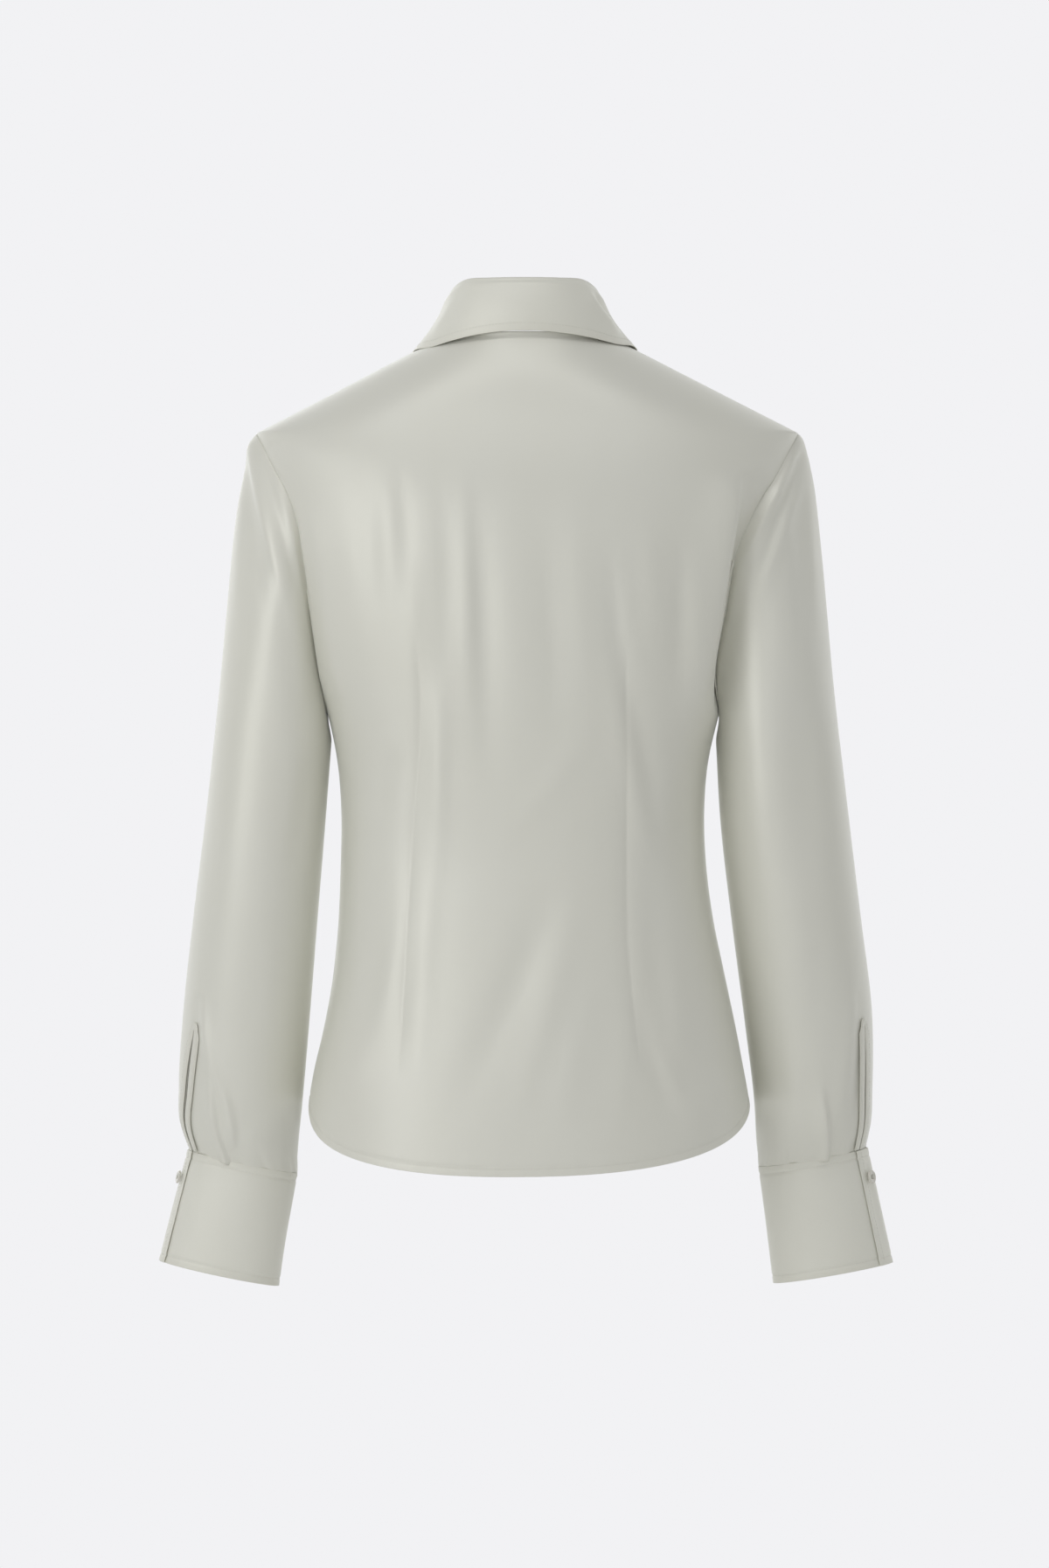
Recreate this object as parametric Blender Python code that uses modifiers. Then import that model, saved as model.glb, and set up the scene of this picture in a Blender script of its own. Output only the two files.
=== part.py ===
"""Silk blouse: a long-sleeved satin shirt, filled out as it is worn, with nothing inside it.

Axes: +Z is up, +Y is the wearer's front and +X the wearer's right. The origin is the middle of the neck
opening, 3 mm above the neck seam. Sizes are in metres. Every cloth piece is an open surface on its outer
side, given its wall by Solidify.
"""

import math
from collections import namedtuple

import bpy
import numpy as np
from mathutils import Vector

CLOTH = 0.0012        # wall of every cloth piece
SEAM_GAP = 0.00045    # how far a piece stops short of a seam line that it shares
SEAM_STRIP = 0.003    # narrow first strip of faces along a seam, so that its edge is square to the cloth
LEFT, RIGHT = -1, 1
BACK, FRONT = -1, 1

# Shoulders and neck
TIP_HEIGHT = -0.0715
TIP_REACH = {LEFT: 0.1975, RIGHT: 0.2020}
NECK_HEIGHT = -0.003
NECK_REACH = {LEFT: 0.065, RIGHT: 0.068}
NECK_DROP = {BACK: -0.0035, FRONT: 0.069}     # the neck seam's fall from the shoulder to the centre
NECK_BEND = {BACK: 1.0, FRONT: 0.9}           # 1 makes the neckline an oval, seen from above
SETTLED_HEIGHT = -0.163    # below this the rows of a panel are level
UNDERARM_HEIGHT = -0.278

# Hems
SIDE_HEM = -0.564
BACK_HEM = -0.613
FRONT_HEM = -0.603
HEM_TURN_HEIGHT = -0.505   # rows start to follow the curved hem here
HEM_SLOW, HEM_STEEP = 0.90, 0.10     # parts of the hem's rise: across the panel, and near the side seam
HEM_STEEPNESS = 6
HEM_LEAN = 0.0035          # the back hem rises by this towards the right and falls as much towards the left
FRONT_LAP = 0.015          # each front runs this far past the centre
UNDER_LAP_DROP = 0.0020    # how far the left front lies under the right one
UNDER_LAP_EASE = 0.045     # width over which it sinks under

# Half widths of the body. Above the underarm they are those of the full oval that the armhole cuts into.
SideRow = namedtuple("SideRow", "height left right")
SIDES = [
    SideRow(-0.0715, 0.1975, 0.2020),
    SideRow(-0.118, 0.1880, 0.1915),
    SideRow(-0.163, 0.1770, 0.1785),
    SideRow(-0.222, 0.1615, 0.1610),
    SideRow(-0.278, 0.1450, 0.1435),
    SideRow(-0.313, 0.1380, 0.1355),
    SideRow(-0.352, 0.1350, 0.1325),
    SideRow(-0.390, 0.1355, 0.1340),
    SideRow(-0.429, 0.1370, 0.1390),
    SideRow(-0.468, 0.1400, 0.1470),
    SideRow(-0.506, 0.1470, 0.1550),
    SideRow(-0.545, 0.1560, 0.1625),
    SideRow(-0.564, 0.1590, 0.1660),
    SideRow(-0.620, 0.1650, 0.1720),
]

# How far the back and front stand from the middle of the body, and how square the oval is (2 is an ellipse)
DepthRow = namedtuple("DepthRow", "height back front squareness")
DEPTHS = [
    DepthRow(-0.003, 0.056, 0.004, 2.00),
    DepthRow(-0.014, 0.060, 0.028, 2.02),
    DepthRow(-0.036, 0.070, 0.0445, 2.06),
    DepthRow(-0.055, 0.080, 0.0565, 2.10),
    DepthRow(-0.072, 0.088, 0.0640, 2.15),
    DepthRow(-0.110, 0.101, 0.0860, 2.30),
    DepthRow(-0.150, 0.107, 0.1030, 2.40),
    DepthRow(-0.200, 0.107, 0.1170, 2.45),
    DepthRow(-0.266, 0.103, 0.1240, 2.50),
    DepthRow(-0.330, 0.098, 0.1160, 2.40),
    DepthRow(-0.390, 0.095, 0.1060, 2.30),
    DepthRow(-0.450, 0.100, 0.1080, 2.30),
    DepthRow(-0.520, 0.110, 0.1140, 2.30),
    DepthRow(-0.620, 0.119, 0.1200, 2.30),
]

# Armhole: the seam's reach to the side, as a share of the oval's half width
ArmholeRow = namedtuple("ArmholeRow", "height back front")
ARMHOLE = [
    ArmholeRow(-0.0715, 1.000, 1.000),
    ArmholeRow(-0.081, 0.984, 0.972),
    ArmholeRow(-0.100, 0.953, 0.905),
    ArmholeRow(-0.118, 0.920, 0.855),
    ArmholeRow(-0.141, 0.907, 0.828),
    ArmholeRow(-0.163, 0.915, 0.828),
    ArmholeRow(-0.192, 0.932, 0.848),
    ArmholeRow(-0.222, 0.954, 0.884),
    ArmholeRow(-0.248, 0.974, 0.930),
    ArmholeRow(-0.266, 0.988, 0.967),
    ArmholeRow(-0.278, 1.000, 1.000),
]

# Rows of a body panel. Near the ridge of the shoulder the cloth is almost level, so the first rows are close.
UPPER_ROWS = 8
ROW_POWERS = (2.0, 1.7, 1.15)     # how the first rows crowd: at the armhole, the neck corner and the centre
ROW_CROWDING = 1.15               # more of the upper rows near the shoulder
LOWER_ROWS = [-0.195, -0.225, -0.250, -0.269, UNDERARM_HEIGHT, -0.292, -0.318, -0.350, -0.385,
              -0.425, -0.465, HEM_TURN_HEIGHT, -0.530, -0.550, SIDE_HEM]

# Columns of one half of the back, from the armhole to the centre: reach at the shoulder seam or neckline, and
# at the settled height. The dart is the column in the middle of three.
ColumnRow = namedtuple("ColumnRow", "top settled")
BACK_SHOULDER = [
    ColumnRow(0.1975, 0.1620),
    ColumnRow(0.1945, 0.1590),
    ColumnRow(0.1720, 0.1420),
    ColumnRow(0.1500, 0.1240),
    ColumnRow(0.1280, 0.1060),
    ColumnRow(0.1070, 0.0900),
    ColumnRow(0.0940, 0.0830),
    ColumnRow(0.0810, 0.0760),
    ColumnRow(0.0650, 0.0570),
]
BACK_NECK_COLUMNS = 4
DART_COLUMN = 6
DART_HALF_WIDTH = 0.007
DART_DEPTH = 0.0022
DART_FADE = 3              # a dart fades over a third of its length at each end

# Fisheye darts of the back: reach to each side
DartRow = namedtuple("DartRow", "height left right")
DARTS = [
    DartRow(-0.163, 0.0865, 0.0750),
    DartRow(-0.275, 0.0755, 0.0740),
    DartRow(-0.370, 0.0820, 0.0745),
    DartRow(-0.450, 0.0860, 0.0755),
    DartRow(-0.545, 0.0920, 0.0850),
]
DART_TOP = -0.205
DART_BOTTOM = -0.555

FRONT_SHOULDER = [
    ColumnRow(0.1975, 0.1466),
    ColumnRow(0.1945, 0.1436),
    ColumnRow(0.1720, 0.1270),
    ColumnRow(0.1500, 0.1110),
    ColumnRow(0.1280, 0.0950),
    ColumnRow(0.1070, 0.0790),
    ColumnRow(0.0860, 0.0630),
    ColumnRow(0.0650, 0.0480),
]
FRONT_NECK_COLUMNS = 4     # then one more at the lapped edge

# Large soft folds of the back, as troughs (depth below 0) or ridges
FOLD_FADE = 4              # a fold fades over a quarter of its length at each end
Fold = namedtuple("Fold", "top_reach top_height bottom_reach bottom_height depth width")
BACK_FOLDS = [
    Fold(-0.041, -0.150, -0.036, -0.330, -0.0016, 0.012),
    Fold(0.074, -0.180, 0.104, -0.400, -0.0022, 0.014),
    Fold(0.150, -0.105, 0.134, -0.300, 0.0030, 0.011),
    Fold(-0.118, -0.420, -0.150, -0.540, 0.0022, 0.016),
    Fold(0.110, -0.440, 0.145, -0.560, 0.0022, 0.016),
]

# Sleeves below the armhole: each ring's middle, half sizes and outward lean in degrees
SleeveRing = namedtuple("SleeveRing", "height reach forward half_width half_depth lean")
SLEEVE_RINGS = {
    LEFT: [
        SleeveRing(-0.300, 0.1856, 0.000, 0.0432, 0.055, 0),
        SleeveRing(-0.352, 0.1906, 0.002, 0.0442, 0.055, 0),
        SleeveRing(-0.429, 0.1987, 0.007, 0.0458, 0.053, 2),
        SleeveRing(-0.506, 0.2061, 0.015, 0.0468, 0.050, 5),
        SleeveRing(-0.560, 0.2103, 0.022, 0.0462, 0.047, 8),
        SleeveRing(-0.590, 0.2115, 0.026, 0.0445, 0.042, 11),
        SleeveRing(-0.6095, 0.2085, 0.029, 0.0405, 0.0355, 12),
    ],
    RIGHT: [
        SleeveRing(-0.300, 0.1868, 0.000, 0.0455, 0.055, 0),
        SleeveRing(-0.352, 0.1914, 0.002, 0.0473, 0.055, 0),
        SleeveRing(-0.429, 0.2006, 0.007, 0.0477, 0.053, 2),
        SleeveRing(-0.506, 0.2103, 0.015, 0.0471, 0.050, 5),
        SleeveRing(-0.560, 0.2140, 0.022, 0.0442, 0.047, 8),
        SleeveRing(-0.590, 0.2143, 0.026, 0.0427, 0.042, 9),
        SleeveRing(-0.6065, 0.2135, 0.029, 0.0400, 0.0355, 10),
    ],
}
SLEEVE_TOP = -0.300
SLEEVE_COLUMNS = 18
CAP_ROWS = 8
CAP_SEAM_GAP = 0.0011      # the cap turns down over the armhole seam and starts this far from it
CAP_START = (0.70, 0.30, 0.65)   # direction in which the cap leaves the seam: out, round and down
CAP_START_PULL = 0.27
CAP_CROWDING = 1.3         # more of the cap's rings near the seam
CAP_STRIP_SHARE = 0.14     # the narrow first strip takes no more than this share of the cap
SLEEVE_ROWS = [-0.330, -0.365, -0.402, -0.440, -0.478]

# Slit above each cuff: place around the sleeve in degrees (0 is outermost, 90 is the back)
Slit = namedtuple("Slit", "top_height top_turn bottom_turn gape")
SLITS = {LEFT: Slit(-0.5147, 41, 27, 0.0090), RIGHT: Slit(-0.5115, 35, 34, 0.0022)}
SLIT_ROWS = 5
SLIT_BULGE = (0.80, 0.86, 0.25)      # the gape's shape: where it is widest, how much of an arch, its end
BINDING_WIDTH = 0.006
BINDING_LIFT = 0.0005
BINDING_END_GAP = 0.0006   # between the binding and the cuff
BINDING_TOP_SPREAD = 0.6   # the binding is narrower round the top of the slit
BINDING_TOP_GAPE = 0.4     # degrees between its two sides there

# Pleats at the cuff, as ridges on the sleeve
PLEAT_RISE = 1.5           # a pleat has its full height this many times sooner than its end
PLEATS = {LEFT: Fold(60, -0.530, 73, -0.602, 0.0028, 9), RIGHT: Fold(85, -0.545, 77, -0.600, 0.0028, 9)}

# Cuffs: a band whose front end laps over its back end at one button
Cuff = namedtuple(
    "Cuff", "depth top_width top_depth end_width end_depth forward lap_turn under_turn button_turn")
CUFFS = {
    LEFT: Cuff(0.085, 0.0403, 0.0345, 0.0442, 0.032, 0.006, 25, -9, 10),
    RIGHT: Cuff(0.087, 0.0400, 0.0345, 0.0440, 0.032, 0.006, 40, 6, 26),
}
CUFF_GAP = 0.0004
CUFF_LAP_RISE = 0.0019
CUFF_LAP_EASE = 60         # the lapped end starts to rise this many degrees before its edge
CUFF_LAP_RAMP = 36         # and has risen after this many
CUFF_COLUMNS = 22
CUFF_ROWS = 4
CUFF_BUTTON_DROP = 0.021
CUFF_OUTSTAND = 0.0008     # the cuff stands this far outside the end of the sleeve

# Collar. The fold line and the lower edge of the fall at each turn from the centre back, in degrees.
CollarRow = namedtuple("CollarRow", "turn fold_x fold_y fold_z edge_x edge_y edge_z right_rise")
COLLAR = [
    CollarRow(0, 0.000, -0.0500, 0.0403, 0.000, -0.0680, 0.0015, 0.0000),
    CollarRow(25, 0.025, -0.0458, 0.0402, 0.030, -0.0633, -0.0006, 0.0002),
    CollarRow(45, 0.0415, -0.0355, 0.0398, 0.0515, -0.0520, -0.0033, 0.0013),
    CollarRow(60, 0.0510, -0.0250, 0.0358, 0.066, -0.0400, -0.0057, 0.0025),
    CollarRow(90, 0.058, 0.0020, 0.0220, 0.083, 0.0000, -0.0084, 0.0045),
    CollarRow(120, 0.051, 0.0300, 0.0020, 0.081, 0.0440, -0.0326, 0.0035),
    CollarRow(150, 0.030, 0.0500, -0.0230, 0.067, 0.0730, -0.0680, 0.0010),
    CollarRow(175, 0.005, 0.0580, -0.0400, 0.045, 0.0910, -0.0980, 0.0000),
]
FALL_COLUMNS = 10          # on each side of the centre back
FALL_SHARES = [0.10, 0.24, 0.42, 0.62, 0.82, 1.0]
FALL_BULGE = 0.004
FALL_OVER_STAND = 0.0020
FALL_ROLL = 0.0025
ROLL_STEPS = ((0.4, 0.0), (0.9, 0.0022))     # the roll over the fold line: share of it outwards, and fall
ROLL_INNER_DROP = 0.0003
COLLAR_MIDDLE = 0.004      # the middle of the neck, to the front of the origin
STAND_COLUMNS = 8
STAND_ROWS = 4
STAND_DROP = 0.0026        # the stand's top edge lies this far under the fold
STAND_TUCK = 0.0015
STAND_LIFT = 0.0007
STAND_LAP_TURN = 11.25     # each end of the stand runs this far past the centre front, in degrees
STAND_LAP_RISE = 0.0025
STAND_END_HEIGHT = 0.88    # the two ends are this much as high as the rest
STAND_LAP_START = 135      # the under end starts to sink at this turn
STAND_BULGE = 0.0015
STAND_BUTTON_SHARE = 0.45  # the button's height on the stand
STAND_BUTTON_WAY = (0.0, 0.97, 0.25)

# Buttons
BUTTON_THICKNESS = 0.0022
BUTTON_SIZE = 0.0100
BUTTON_CORNER = 0.0006
BUTTON_SIDES = 16
BUTTON_LIFT = 0.0005
FRONT_BUTTONS = 6
FIRST_BUTTON = -0.132
BUTTON_SPACING = 0.078

# Finishes: colour, roughness
SATIN = ((0.60, 0.60, 0.54), 0.38)
PEARL = ((0.72, 0.70, 0.64), 0.22)


# ---------------------------------------------------------------- curves

def hermite(start, end, start_pull, end_pull, t):
    """A point of the smooth curve between two points, given its pull at each."""
    rest = 1 - t
    return (start * (1 + 2 * t) * rest ** 2 + start_pull * t * rest ** 2
            + end * t ** 2 * (3 - 2 * t) - end_pull * t ** 2 * rest)


def table_curve(rows, column):
    """A smooth function through one column of a table, over the table's first column."""
    ordered = sorted(rows)
    keys = np.array([row[0] for row in ordered], float)
    values = np.array([getattr(row, column) for row in ordered], float)
    slopes = np.gradient(values, keys)

    def at(key):
        key = np.clip(key, keys[0], keys[-1])
        low = np.clip(np.searchsorted(keys, key, side="right") - 1, 0, len(keys) - 2)
        span = keys[low + 1] - keys[low]
        share = (key - keys[low]) / span
        return hermite(values[low], values[low + 1], slopes[low] * span, slopes[low + 1] * span, share)
    return at


def smooth_step(value):
    """0 below 0, 1 above 1 and smooth between."""
    value = np.clip(value, 0.0, 1.0)
    return value * value * (3 - 2 * value)


def unit(vectors):
    """Vectors of length 1 along the given ones."""
    return vectors / np.maximum(np.linalg.norm(vectors, axis=-1, keepdims=True), 1e-12)


SIDE_WIDTH = {LEFT: table_curve(SIDES, "left"), RIGHT: table_curve(SIDES, "right")}
DEPTH = {BACK: table_curve(DEPTHS, "back"), FRONT: table_curve(DEPTHS, "front")}
SQUARENESS = table_curve(DEPTHS, "squareness")
ARMHOLE_SHARE = {BACK: table_curve(ARMHOLE, "back"), FRONT: table_curve(ARMHOLE, "front")}
DART_REACH = {LEFT: table_curve(DARTS, "left"), RIGHT: table_curve(DARTS, "right")}


# ---------------------------------------------------------------- body

def half_width(side, height):
    """Half the oval's width at a height, on the left or the right."""
    on_shoulder = np.interp(height, [TIP_HEIGHT, NECK_HEIGHT], [TIP_REACH[side], NECK_REACH[side]])
    return np.where(height > TIP_HEIGHT, on_shoulder, SIDE_WIDTH[side](np.minimum(height, TIP_HEIGHT)))


def body_point(half, across, height):
    """Points of the body's outside. across is -1 at the left seam, 0 at the centre, 1 at the right seam."""
    across = np.asarray(across, float)
    height = np.asarray(height, float)
    width = np.where(across < 0, half_width(LEFT, height), half_width(RIGHT, height))
    power = 2 / SQUARENESS(height)
    turn = np.minimum(np.abs(across), 1) * math.pi / 2
    reach = np.sign(across) * width * np.sin(turn) ** power
    away = DEPTH[half](height) * np.maximum(np.cos(turn), 0) ** power + SEAM_GAP
    return np.stack(np.broadcast_arrays(reach, half * away, height), axis=-1)


def across_at(reach, height):
    """The place across the body whose reach to the side is given."""
    width = np.where(reach < 0, half_width(LEFT, height), half_width(RIGHT, height))
    share = np.clip(np.abs(reach) / width, 0, 1)
    return np.sign(reach) * np.arcsin(share ** (SQUARENESS(height) / 2)) * 2 / math.pi


def body_outward(half, across, height):
    """The direction square to the body's outside."""
    step = 0.002
    inner = np.clip(across, -1 + 2 * step, 1 - 2 * step)
    along = body_point(half, inner + step, height) - body_point(half, inner - step, height)
    up = body_point(half, inner, height + step) - body_point(half, inner, height - step)
    return unit(np.cross(along, up)) * -half


def fold_height(folds, reach, height):
    """How far soft folds lift a point of a panel, from its reach and height."""
    lift = np.zeros(np.broadcast(reach, height).shape)
    for fold in folds:
        share = (height - fold.top_height) / (fold.bottom_height - fold.top_height)
        middle = fold.top_reach + (fold.bottom_reach - fold.top_reach) * share
        fade = smooth_step(share * FOLD_FADE) * smooth_step((1 - share) * FOLD_FADE)
        lift = lift + fold.depth * fade * np.exp(-((reach - middle) / fold.width) ** 2)
    return lift


def dart_fade(height):
    """1 along a dart, falling to 0 at its two points."""
    length = DART_TOP - DART_BOTTOM
    share = (DART_TOP - height) / length
    return smooth_step(share * DART_FADE) * smooth_step((1 - share) * DART_FADE)


def column_table(half, side):
    """Reach of each column of a half panel at its top edge and at the settled height, and its top height."""
    rows = BACK_SHOULDER if half == BACK else FRONT_SHOULDER
    scale = TIP_REACH[side] / TIP_REACH[LEFT]
    top = [row.top * scale for row in rows[:-1]] + [NECK_REACH[side]]
    settled = [row.settled * scale for row in rows]
    fall = (TIP_HEIGHT - NECK_HEIGHT) / (TIP_REACH[side] - NECK_REACH[side])
    heights = [NECK_HEIGHT + fall * (reach - NECK_REACH[side]) for reach in top]
    columns = BACK_NECK_COLUMNS if half == BACK else FRONT_NECK_COLUMNS
    for column in range(1, columns + 1):
        turn = math.pi / 2 * column / columns
        top.append(NECK_REACH[side] * abs(math.cos(turn)) ** NECK_BEND[half])
        heights.append(NECK_HEIGHT - NECK_DROP[half] * math.sin(turn) ** 2)
        settled.append(rows[-1].settled * scale * (1 - column / columns))
    top[-1] = 0.0
    if half == FRONT:
        top.append(-FRONT_LAP)
        settled.append(-FRONT_LAP)
        heights.append(heights[-1])
    return np.array(top), np.array(settled), np.array(heights)


def hem_height(half, side, across):
    """The curved hem: lowest at the centre, highest at the side seam."""
    lowest = BACK_HEM if half == BACK else FRONT_HEM
    share = np.minimum(np.abs(across), 1)
    lean = HEM_LEAN * side * share if half == BACK else 0.0
    curve = HEM_SLOW * share ** 2 + HEM_STEEP * share ** HEM_STEEPNESS
    return lowest + (SIDE_HEM - lowest) * curve + lean * (1 - share ** (HEM_STEEPNESS + 2))


def quarter_girth(half, side, height):
    """About how far it is round the body from the side seam to the centre."""
    return half_width(side, height) + DEPTH[half](height) / 2


def half_panel(half, side):
    """Grid of reach and height for one half of the back, or for one front: rows down, columns inwards."""
    top, settled, heights = column_table(half, side)
    columns = len(top)
    reach_rows = []
    height_rows = []
    corner = len(BACK_SHOULDER if half == BACK else FRONT_SHOULDER) - 1
    power = np.interp(np.arange(columns), [0, corner, columns - 1], ROW_POWERS)
    top_share = (top[0] - top) / top[0]
    settled_share = (settled[0] - settled) / settled[0]
    for row in range(UPPER_ROWS + 1):
        share = (row / UPPER_ROWS) ** ROW_CROWDING
        edge_height = TIP_HEIGHT + (SETTLED_HEIGHT - TIP_HEIGHT) * share ** 2
        edge = ARMHOLE_SHARE[half](edge_height) * half_width(side, edge_height)
        blend = top_share + (settled_share - top_share) * share
        reach_rows.append(edge * (1 - blend))
        height_rows.append(heights + (SETTLED_HEIGHT - heights) * share ** power)
    across_settled = np.abs(across_at(side * np.maximum(settled, 0), SETTLED_HEIGHT))
    for height in LOWER_ROWS:
        edge_share = ARMHOLE_SHARE[half](height) if height > UNDERARM_HEIGHT else 1.0
        edge_across = abs(float(across_at(side * edge_share * half_width(side, height), height)))
        across = across_settled * edge_across / across_settled[0]
        girth = quarter_girth(half, side, height)
        across[1] = edge_across - SEAM_STRIP / girth
        if half == BACK:
            dart = abs(float(across_at(side * DART_REACH[side](height), height)))
            across = pin_dart(across, dart, DART_HALF_WIDTH / girth)
        reach = np.abs(body_point(half, side * across, height)[..., 0])
        if half == FRONT:
            reach[-1] = -FRONT_LAP
        drop = smooth_step((HEM_TURN_HEIGHT - height) / (HEM_TURN_HEIGHT - SIDE_HEM))
        low = hem_height(half, side, np.where(reach < 0, 0, across))
        reach_rows.append(reach)
        height_rows.append(height + (low - SIDE_HEM) * drop)
    return np.array(reach_rows), np.array(height_rows)


def pin_dart(across, dart, wide):
    """Moves the three dart columns onto the dart and spreads the rest evenly on both sides of it."""
    moved = across.copy()
    outer = DART_COLUMN - 1
    inner = DART_COLUMN + 1
    moved[DART_COLUMN] = dart
    moved[outer] = dart + wide
    moved[inner] = dart - wide
    moved[1:outer + 1] = np.interp(across[1:outer + 1], [across[outer], across[1]], [moved[outer], moved[1]])
    moved[inner:] = np.interp(across[inner:], [across[-1], across[inner]], [0.0, moved[inner]])
    return moved


def panel_points(half, side):
    """Points of one half of the back, or of one front, rows down and columns inwards."""
    reach, height = half_panel(half, side)
    across = across_at(side * reach, height)
    points = body_point(half, across, height)
    outward = body_outward(half, across, height)
    lift = np.zeros(reach.shape)
    if half == BACK:
        lift = fold_height(BACK_FOLDS, side * reach, height)
        lift[:, DART_COLUMN] -= DART_DEPTH * dart_fade(height[:, DART_COLUMN])
    elif side == LEFT:
        lift = -UNDER_LAP_DROP * smooth_step((UNDER_LAP_EASE - reach) / (UNDER_LAP_EASE - FRONT_LAP))
    lift[:, :2] = 0.0
    return points + outward * lift[..., None]


# ---------------------------------------------------------------- sleeves

def armhole_point(side, turn):
    """Points of the armhole seam. turn is 0 at the shoulder tip, 90 at the back and 180 at the underarm."""
    turn = np.asarray(turn, float) % 360
    found = np.zeros(turn.shape + (3,))
    drop = np.linspace(0, 1, 90) ** 2
    shares = np.concatenate([drop / 2, 1 - drop[-2::-1] / 2])
    heights = TIP_HEIGHT + (UNDERARM_HEIGHT - TIP_HEIGHT) * shares
    for half in (BACK, FRONT):
        reach = side * ARMHOLE_SHARE[half](heights) * half_width(side, heights)
        line = body_point(half, across_at(reach, heights), heights)
        length = np.concatenate([[0], np.cumsum(np.linalg.norm(np.diff(line, axis=0), axis=1))])
        share = turn / 180 if half == BACK else (360 - turn) / 180
        spot = np.stack([np.interp(share * length[-1], length, line[:, axis]) for axis in range(3)], axis=-1)
        on_half = turn <= 180 if half == BACK else turn > 180
        found = np.where(on_half[..., None], spot, found)
    return found


def ring_curves(side):
    return {name: table_curve(SLEEVE_RINGS[side], name) for name in SleeveRing._fields[1:]}


RINGS = {side: ring_curves(side) for side in (LEFT, RIGHT)}


def ring_point(side, turn, centre, width, depth, lean):
    """Points of an oval ring that leans outwards. turn is in degrees."""
    turn = np.radians(turn)
    lean = np.radians(lean)
    out = np.stack(np.broadcast_arrays(side * np.cos(lean), 0.0, np.sin(lean)), axis=-1)
    rear = np.array([0.0, -1.0, 0.0])
    return (centre + out * (width * np.cos(turn))[..., None] + rear * (depth * np.sin(turn))[..., None])


def tube_point(side, turn, height):
    """Points of the sleeve below the armhole, at the height of a ring's middle."""
    turn, height = np.broadcast_arrays(np.asarray(turn, float), np.asarray(height, float))
    ring = {name: curve(height) for name, curve in RINGS[side].items()}
    centre = np.stack([side * ring["reach"], ring["forward"], height], axis=-1)
    return ring_point(side, turn, centre, ring["half_width"], ring["half_depth"], ring["lean"])


def cap_point(side, turn, share):
    """Points of the sleeve cap, from the armhole seam (share 0) to the first ring (share 1)."""
    turn, share = np.broadcast_arrays(np.asarray(turn, float), np.asarray(share, float))
    out, around, down = CAP_START
    start_way = unit(np.stack([np.full(turn.shape, side * out), -around * np.sin(np.radians(turn)),
                               np.full(turn.shape, -down)], axis=-1))
    start = armhole_point(side, turn) + start_way * CAP_SEAM_GAP
    end = tube_point(side, turn, SLEEVE_TOP)
    end_way = unit(tube_point(side, turn, SLEEVE_TOP - 0.002) - end)
    length = np.linalg.norm(end - start, axis=-1, keepdims=True)
    return hermite(start, end, start_way * length * CAP_START_PULL, end_way * length, share[..., None])


def slit_turn(side, height):
    """Where the slit's middle lies around the sleeve, in degrees."""
    slit = SLITS[side]
    bottom = SLEEVE_RINGS[side][-1].height
    share = np.clip((slit.top_height - height) / (slit.top_height - bottom), 0, 1)
    return slit.top_turn + (slit.bottom_turn - slit.top_turn) * share


def slit_gape(side, height):
    """Half the slit's opening, in degrees around the sleeve. It is widest a little above the cuff."""
    slit = SLITS[side]
    bottom = SLEEVE_RINGS[side][-1].height
    share = np.clip((slit.top_height - height) / (slit.top_height - bottom), 0, 1)
    power, arch, end = SLIT_BULGE
    shape = np.sin(math.pi * arch * share ** power) + end * share
    return np.degrees(slit.gape * shape / 2 / RINGS[side]["half_width"](height))


def pleat_lift(side, turn, height):
    """How far the pleat at the cuff lifts the sleeve."""
    pleat = PLEATS[side]
    share = (height - pleat.top_height) / (pleat.bottom_height - pleat.top_height)
    middle = pleat.top_reach + (pleat.bottom_reach - pleat.top_reach) * share
    gap = (turn - middle + 180) % 360 - 180
    return pleat.depth * smooth_step(share * PLEAT_RISE) * np.exp(-(gap / pleat.width) ** 2)


def sleeve_rows(side):
    """Heights of the sleeve's rings, with one at the top of the slit."""
    slit = SLITS[side]
    bottom = SLEEVE_RINGS[side][-1].height
    return SLEEVE_ROWS + list(np.linspace(slit.top_height, bottom, SLIT_ROWS + 1))


def sleeve_surface(side, turn, height):
    """Points of the sleeve's tube with its pleat."""
    points = tube_point(side, turn, height)
    ring = {name: RINGS[side][name](height) for name in ("reach", "forward")}
    centre = np.stack(np.broadcast_arrays(side * ring["reach"], ring["forward"], points[..., 2]), axis=-1)
    return points + unit(points - centre) * pleat_lift(side, turn, height)[..., None]


def sleeve_grid(side):
    """Points of the whole sleeve: rows down from the armhole, columns from one slit edge to the other."""
    spread = np.linspace(0, 360, SLEEVE_COLUMNS + 1)
    start = slit_turn(side, SLITS[side].top_height)
    turns = start + spread
    rows = []
    length = np.linalg.norm(cap_point(side, turns, 1.0) - cap_point(side, turns, 0.0), axis=-1)
    strip = np.minimum(SEAM_STRIP / length, CAP_STRIP_SHARE)
    rows.append(cap_point(side, turns, 0.0))
    for share in np.linspace(0, 1, CAP_ROWS):
        rows.append(cap_point(side, turns, strip + (1 - strip) * share ** CAP_CROWDING))
    for height in sleeve_rows(side):
        middle = slit_turn(side, height)
        gape = slit_gape(side, height) if height < SLITS[side].top_height - 1e-6 else 0.0
        turned = middle + gape + spread * (360 - 2 * gape) / 360
        rows.append(sleeve_surface(side, turned, np.full(turned.shape, height)))
    return np.array(rows)


# ---------------------------------------------------------------- cuffs

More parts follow.
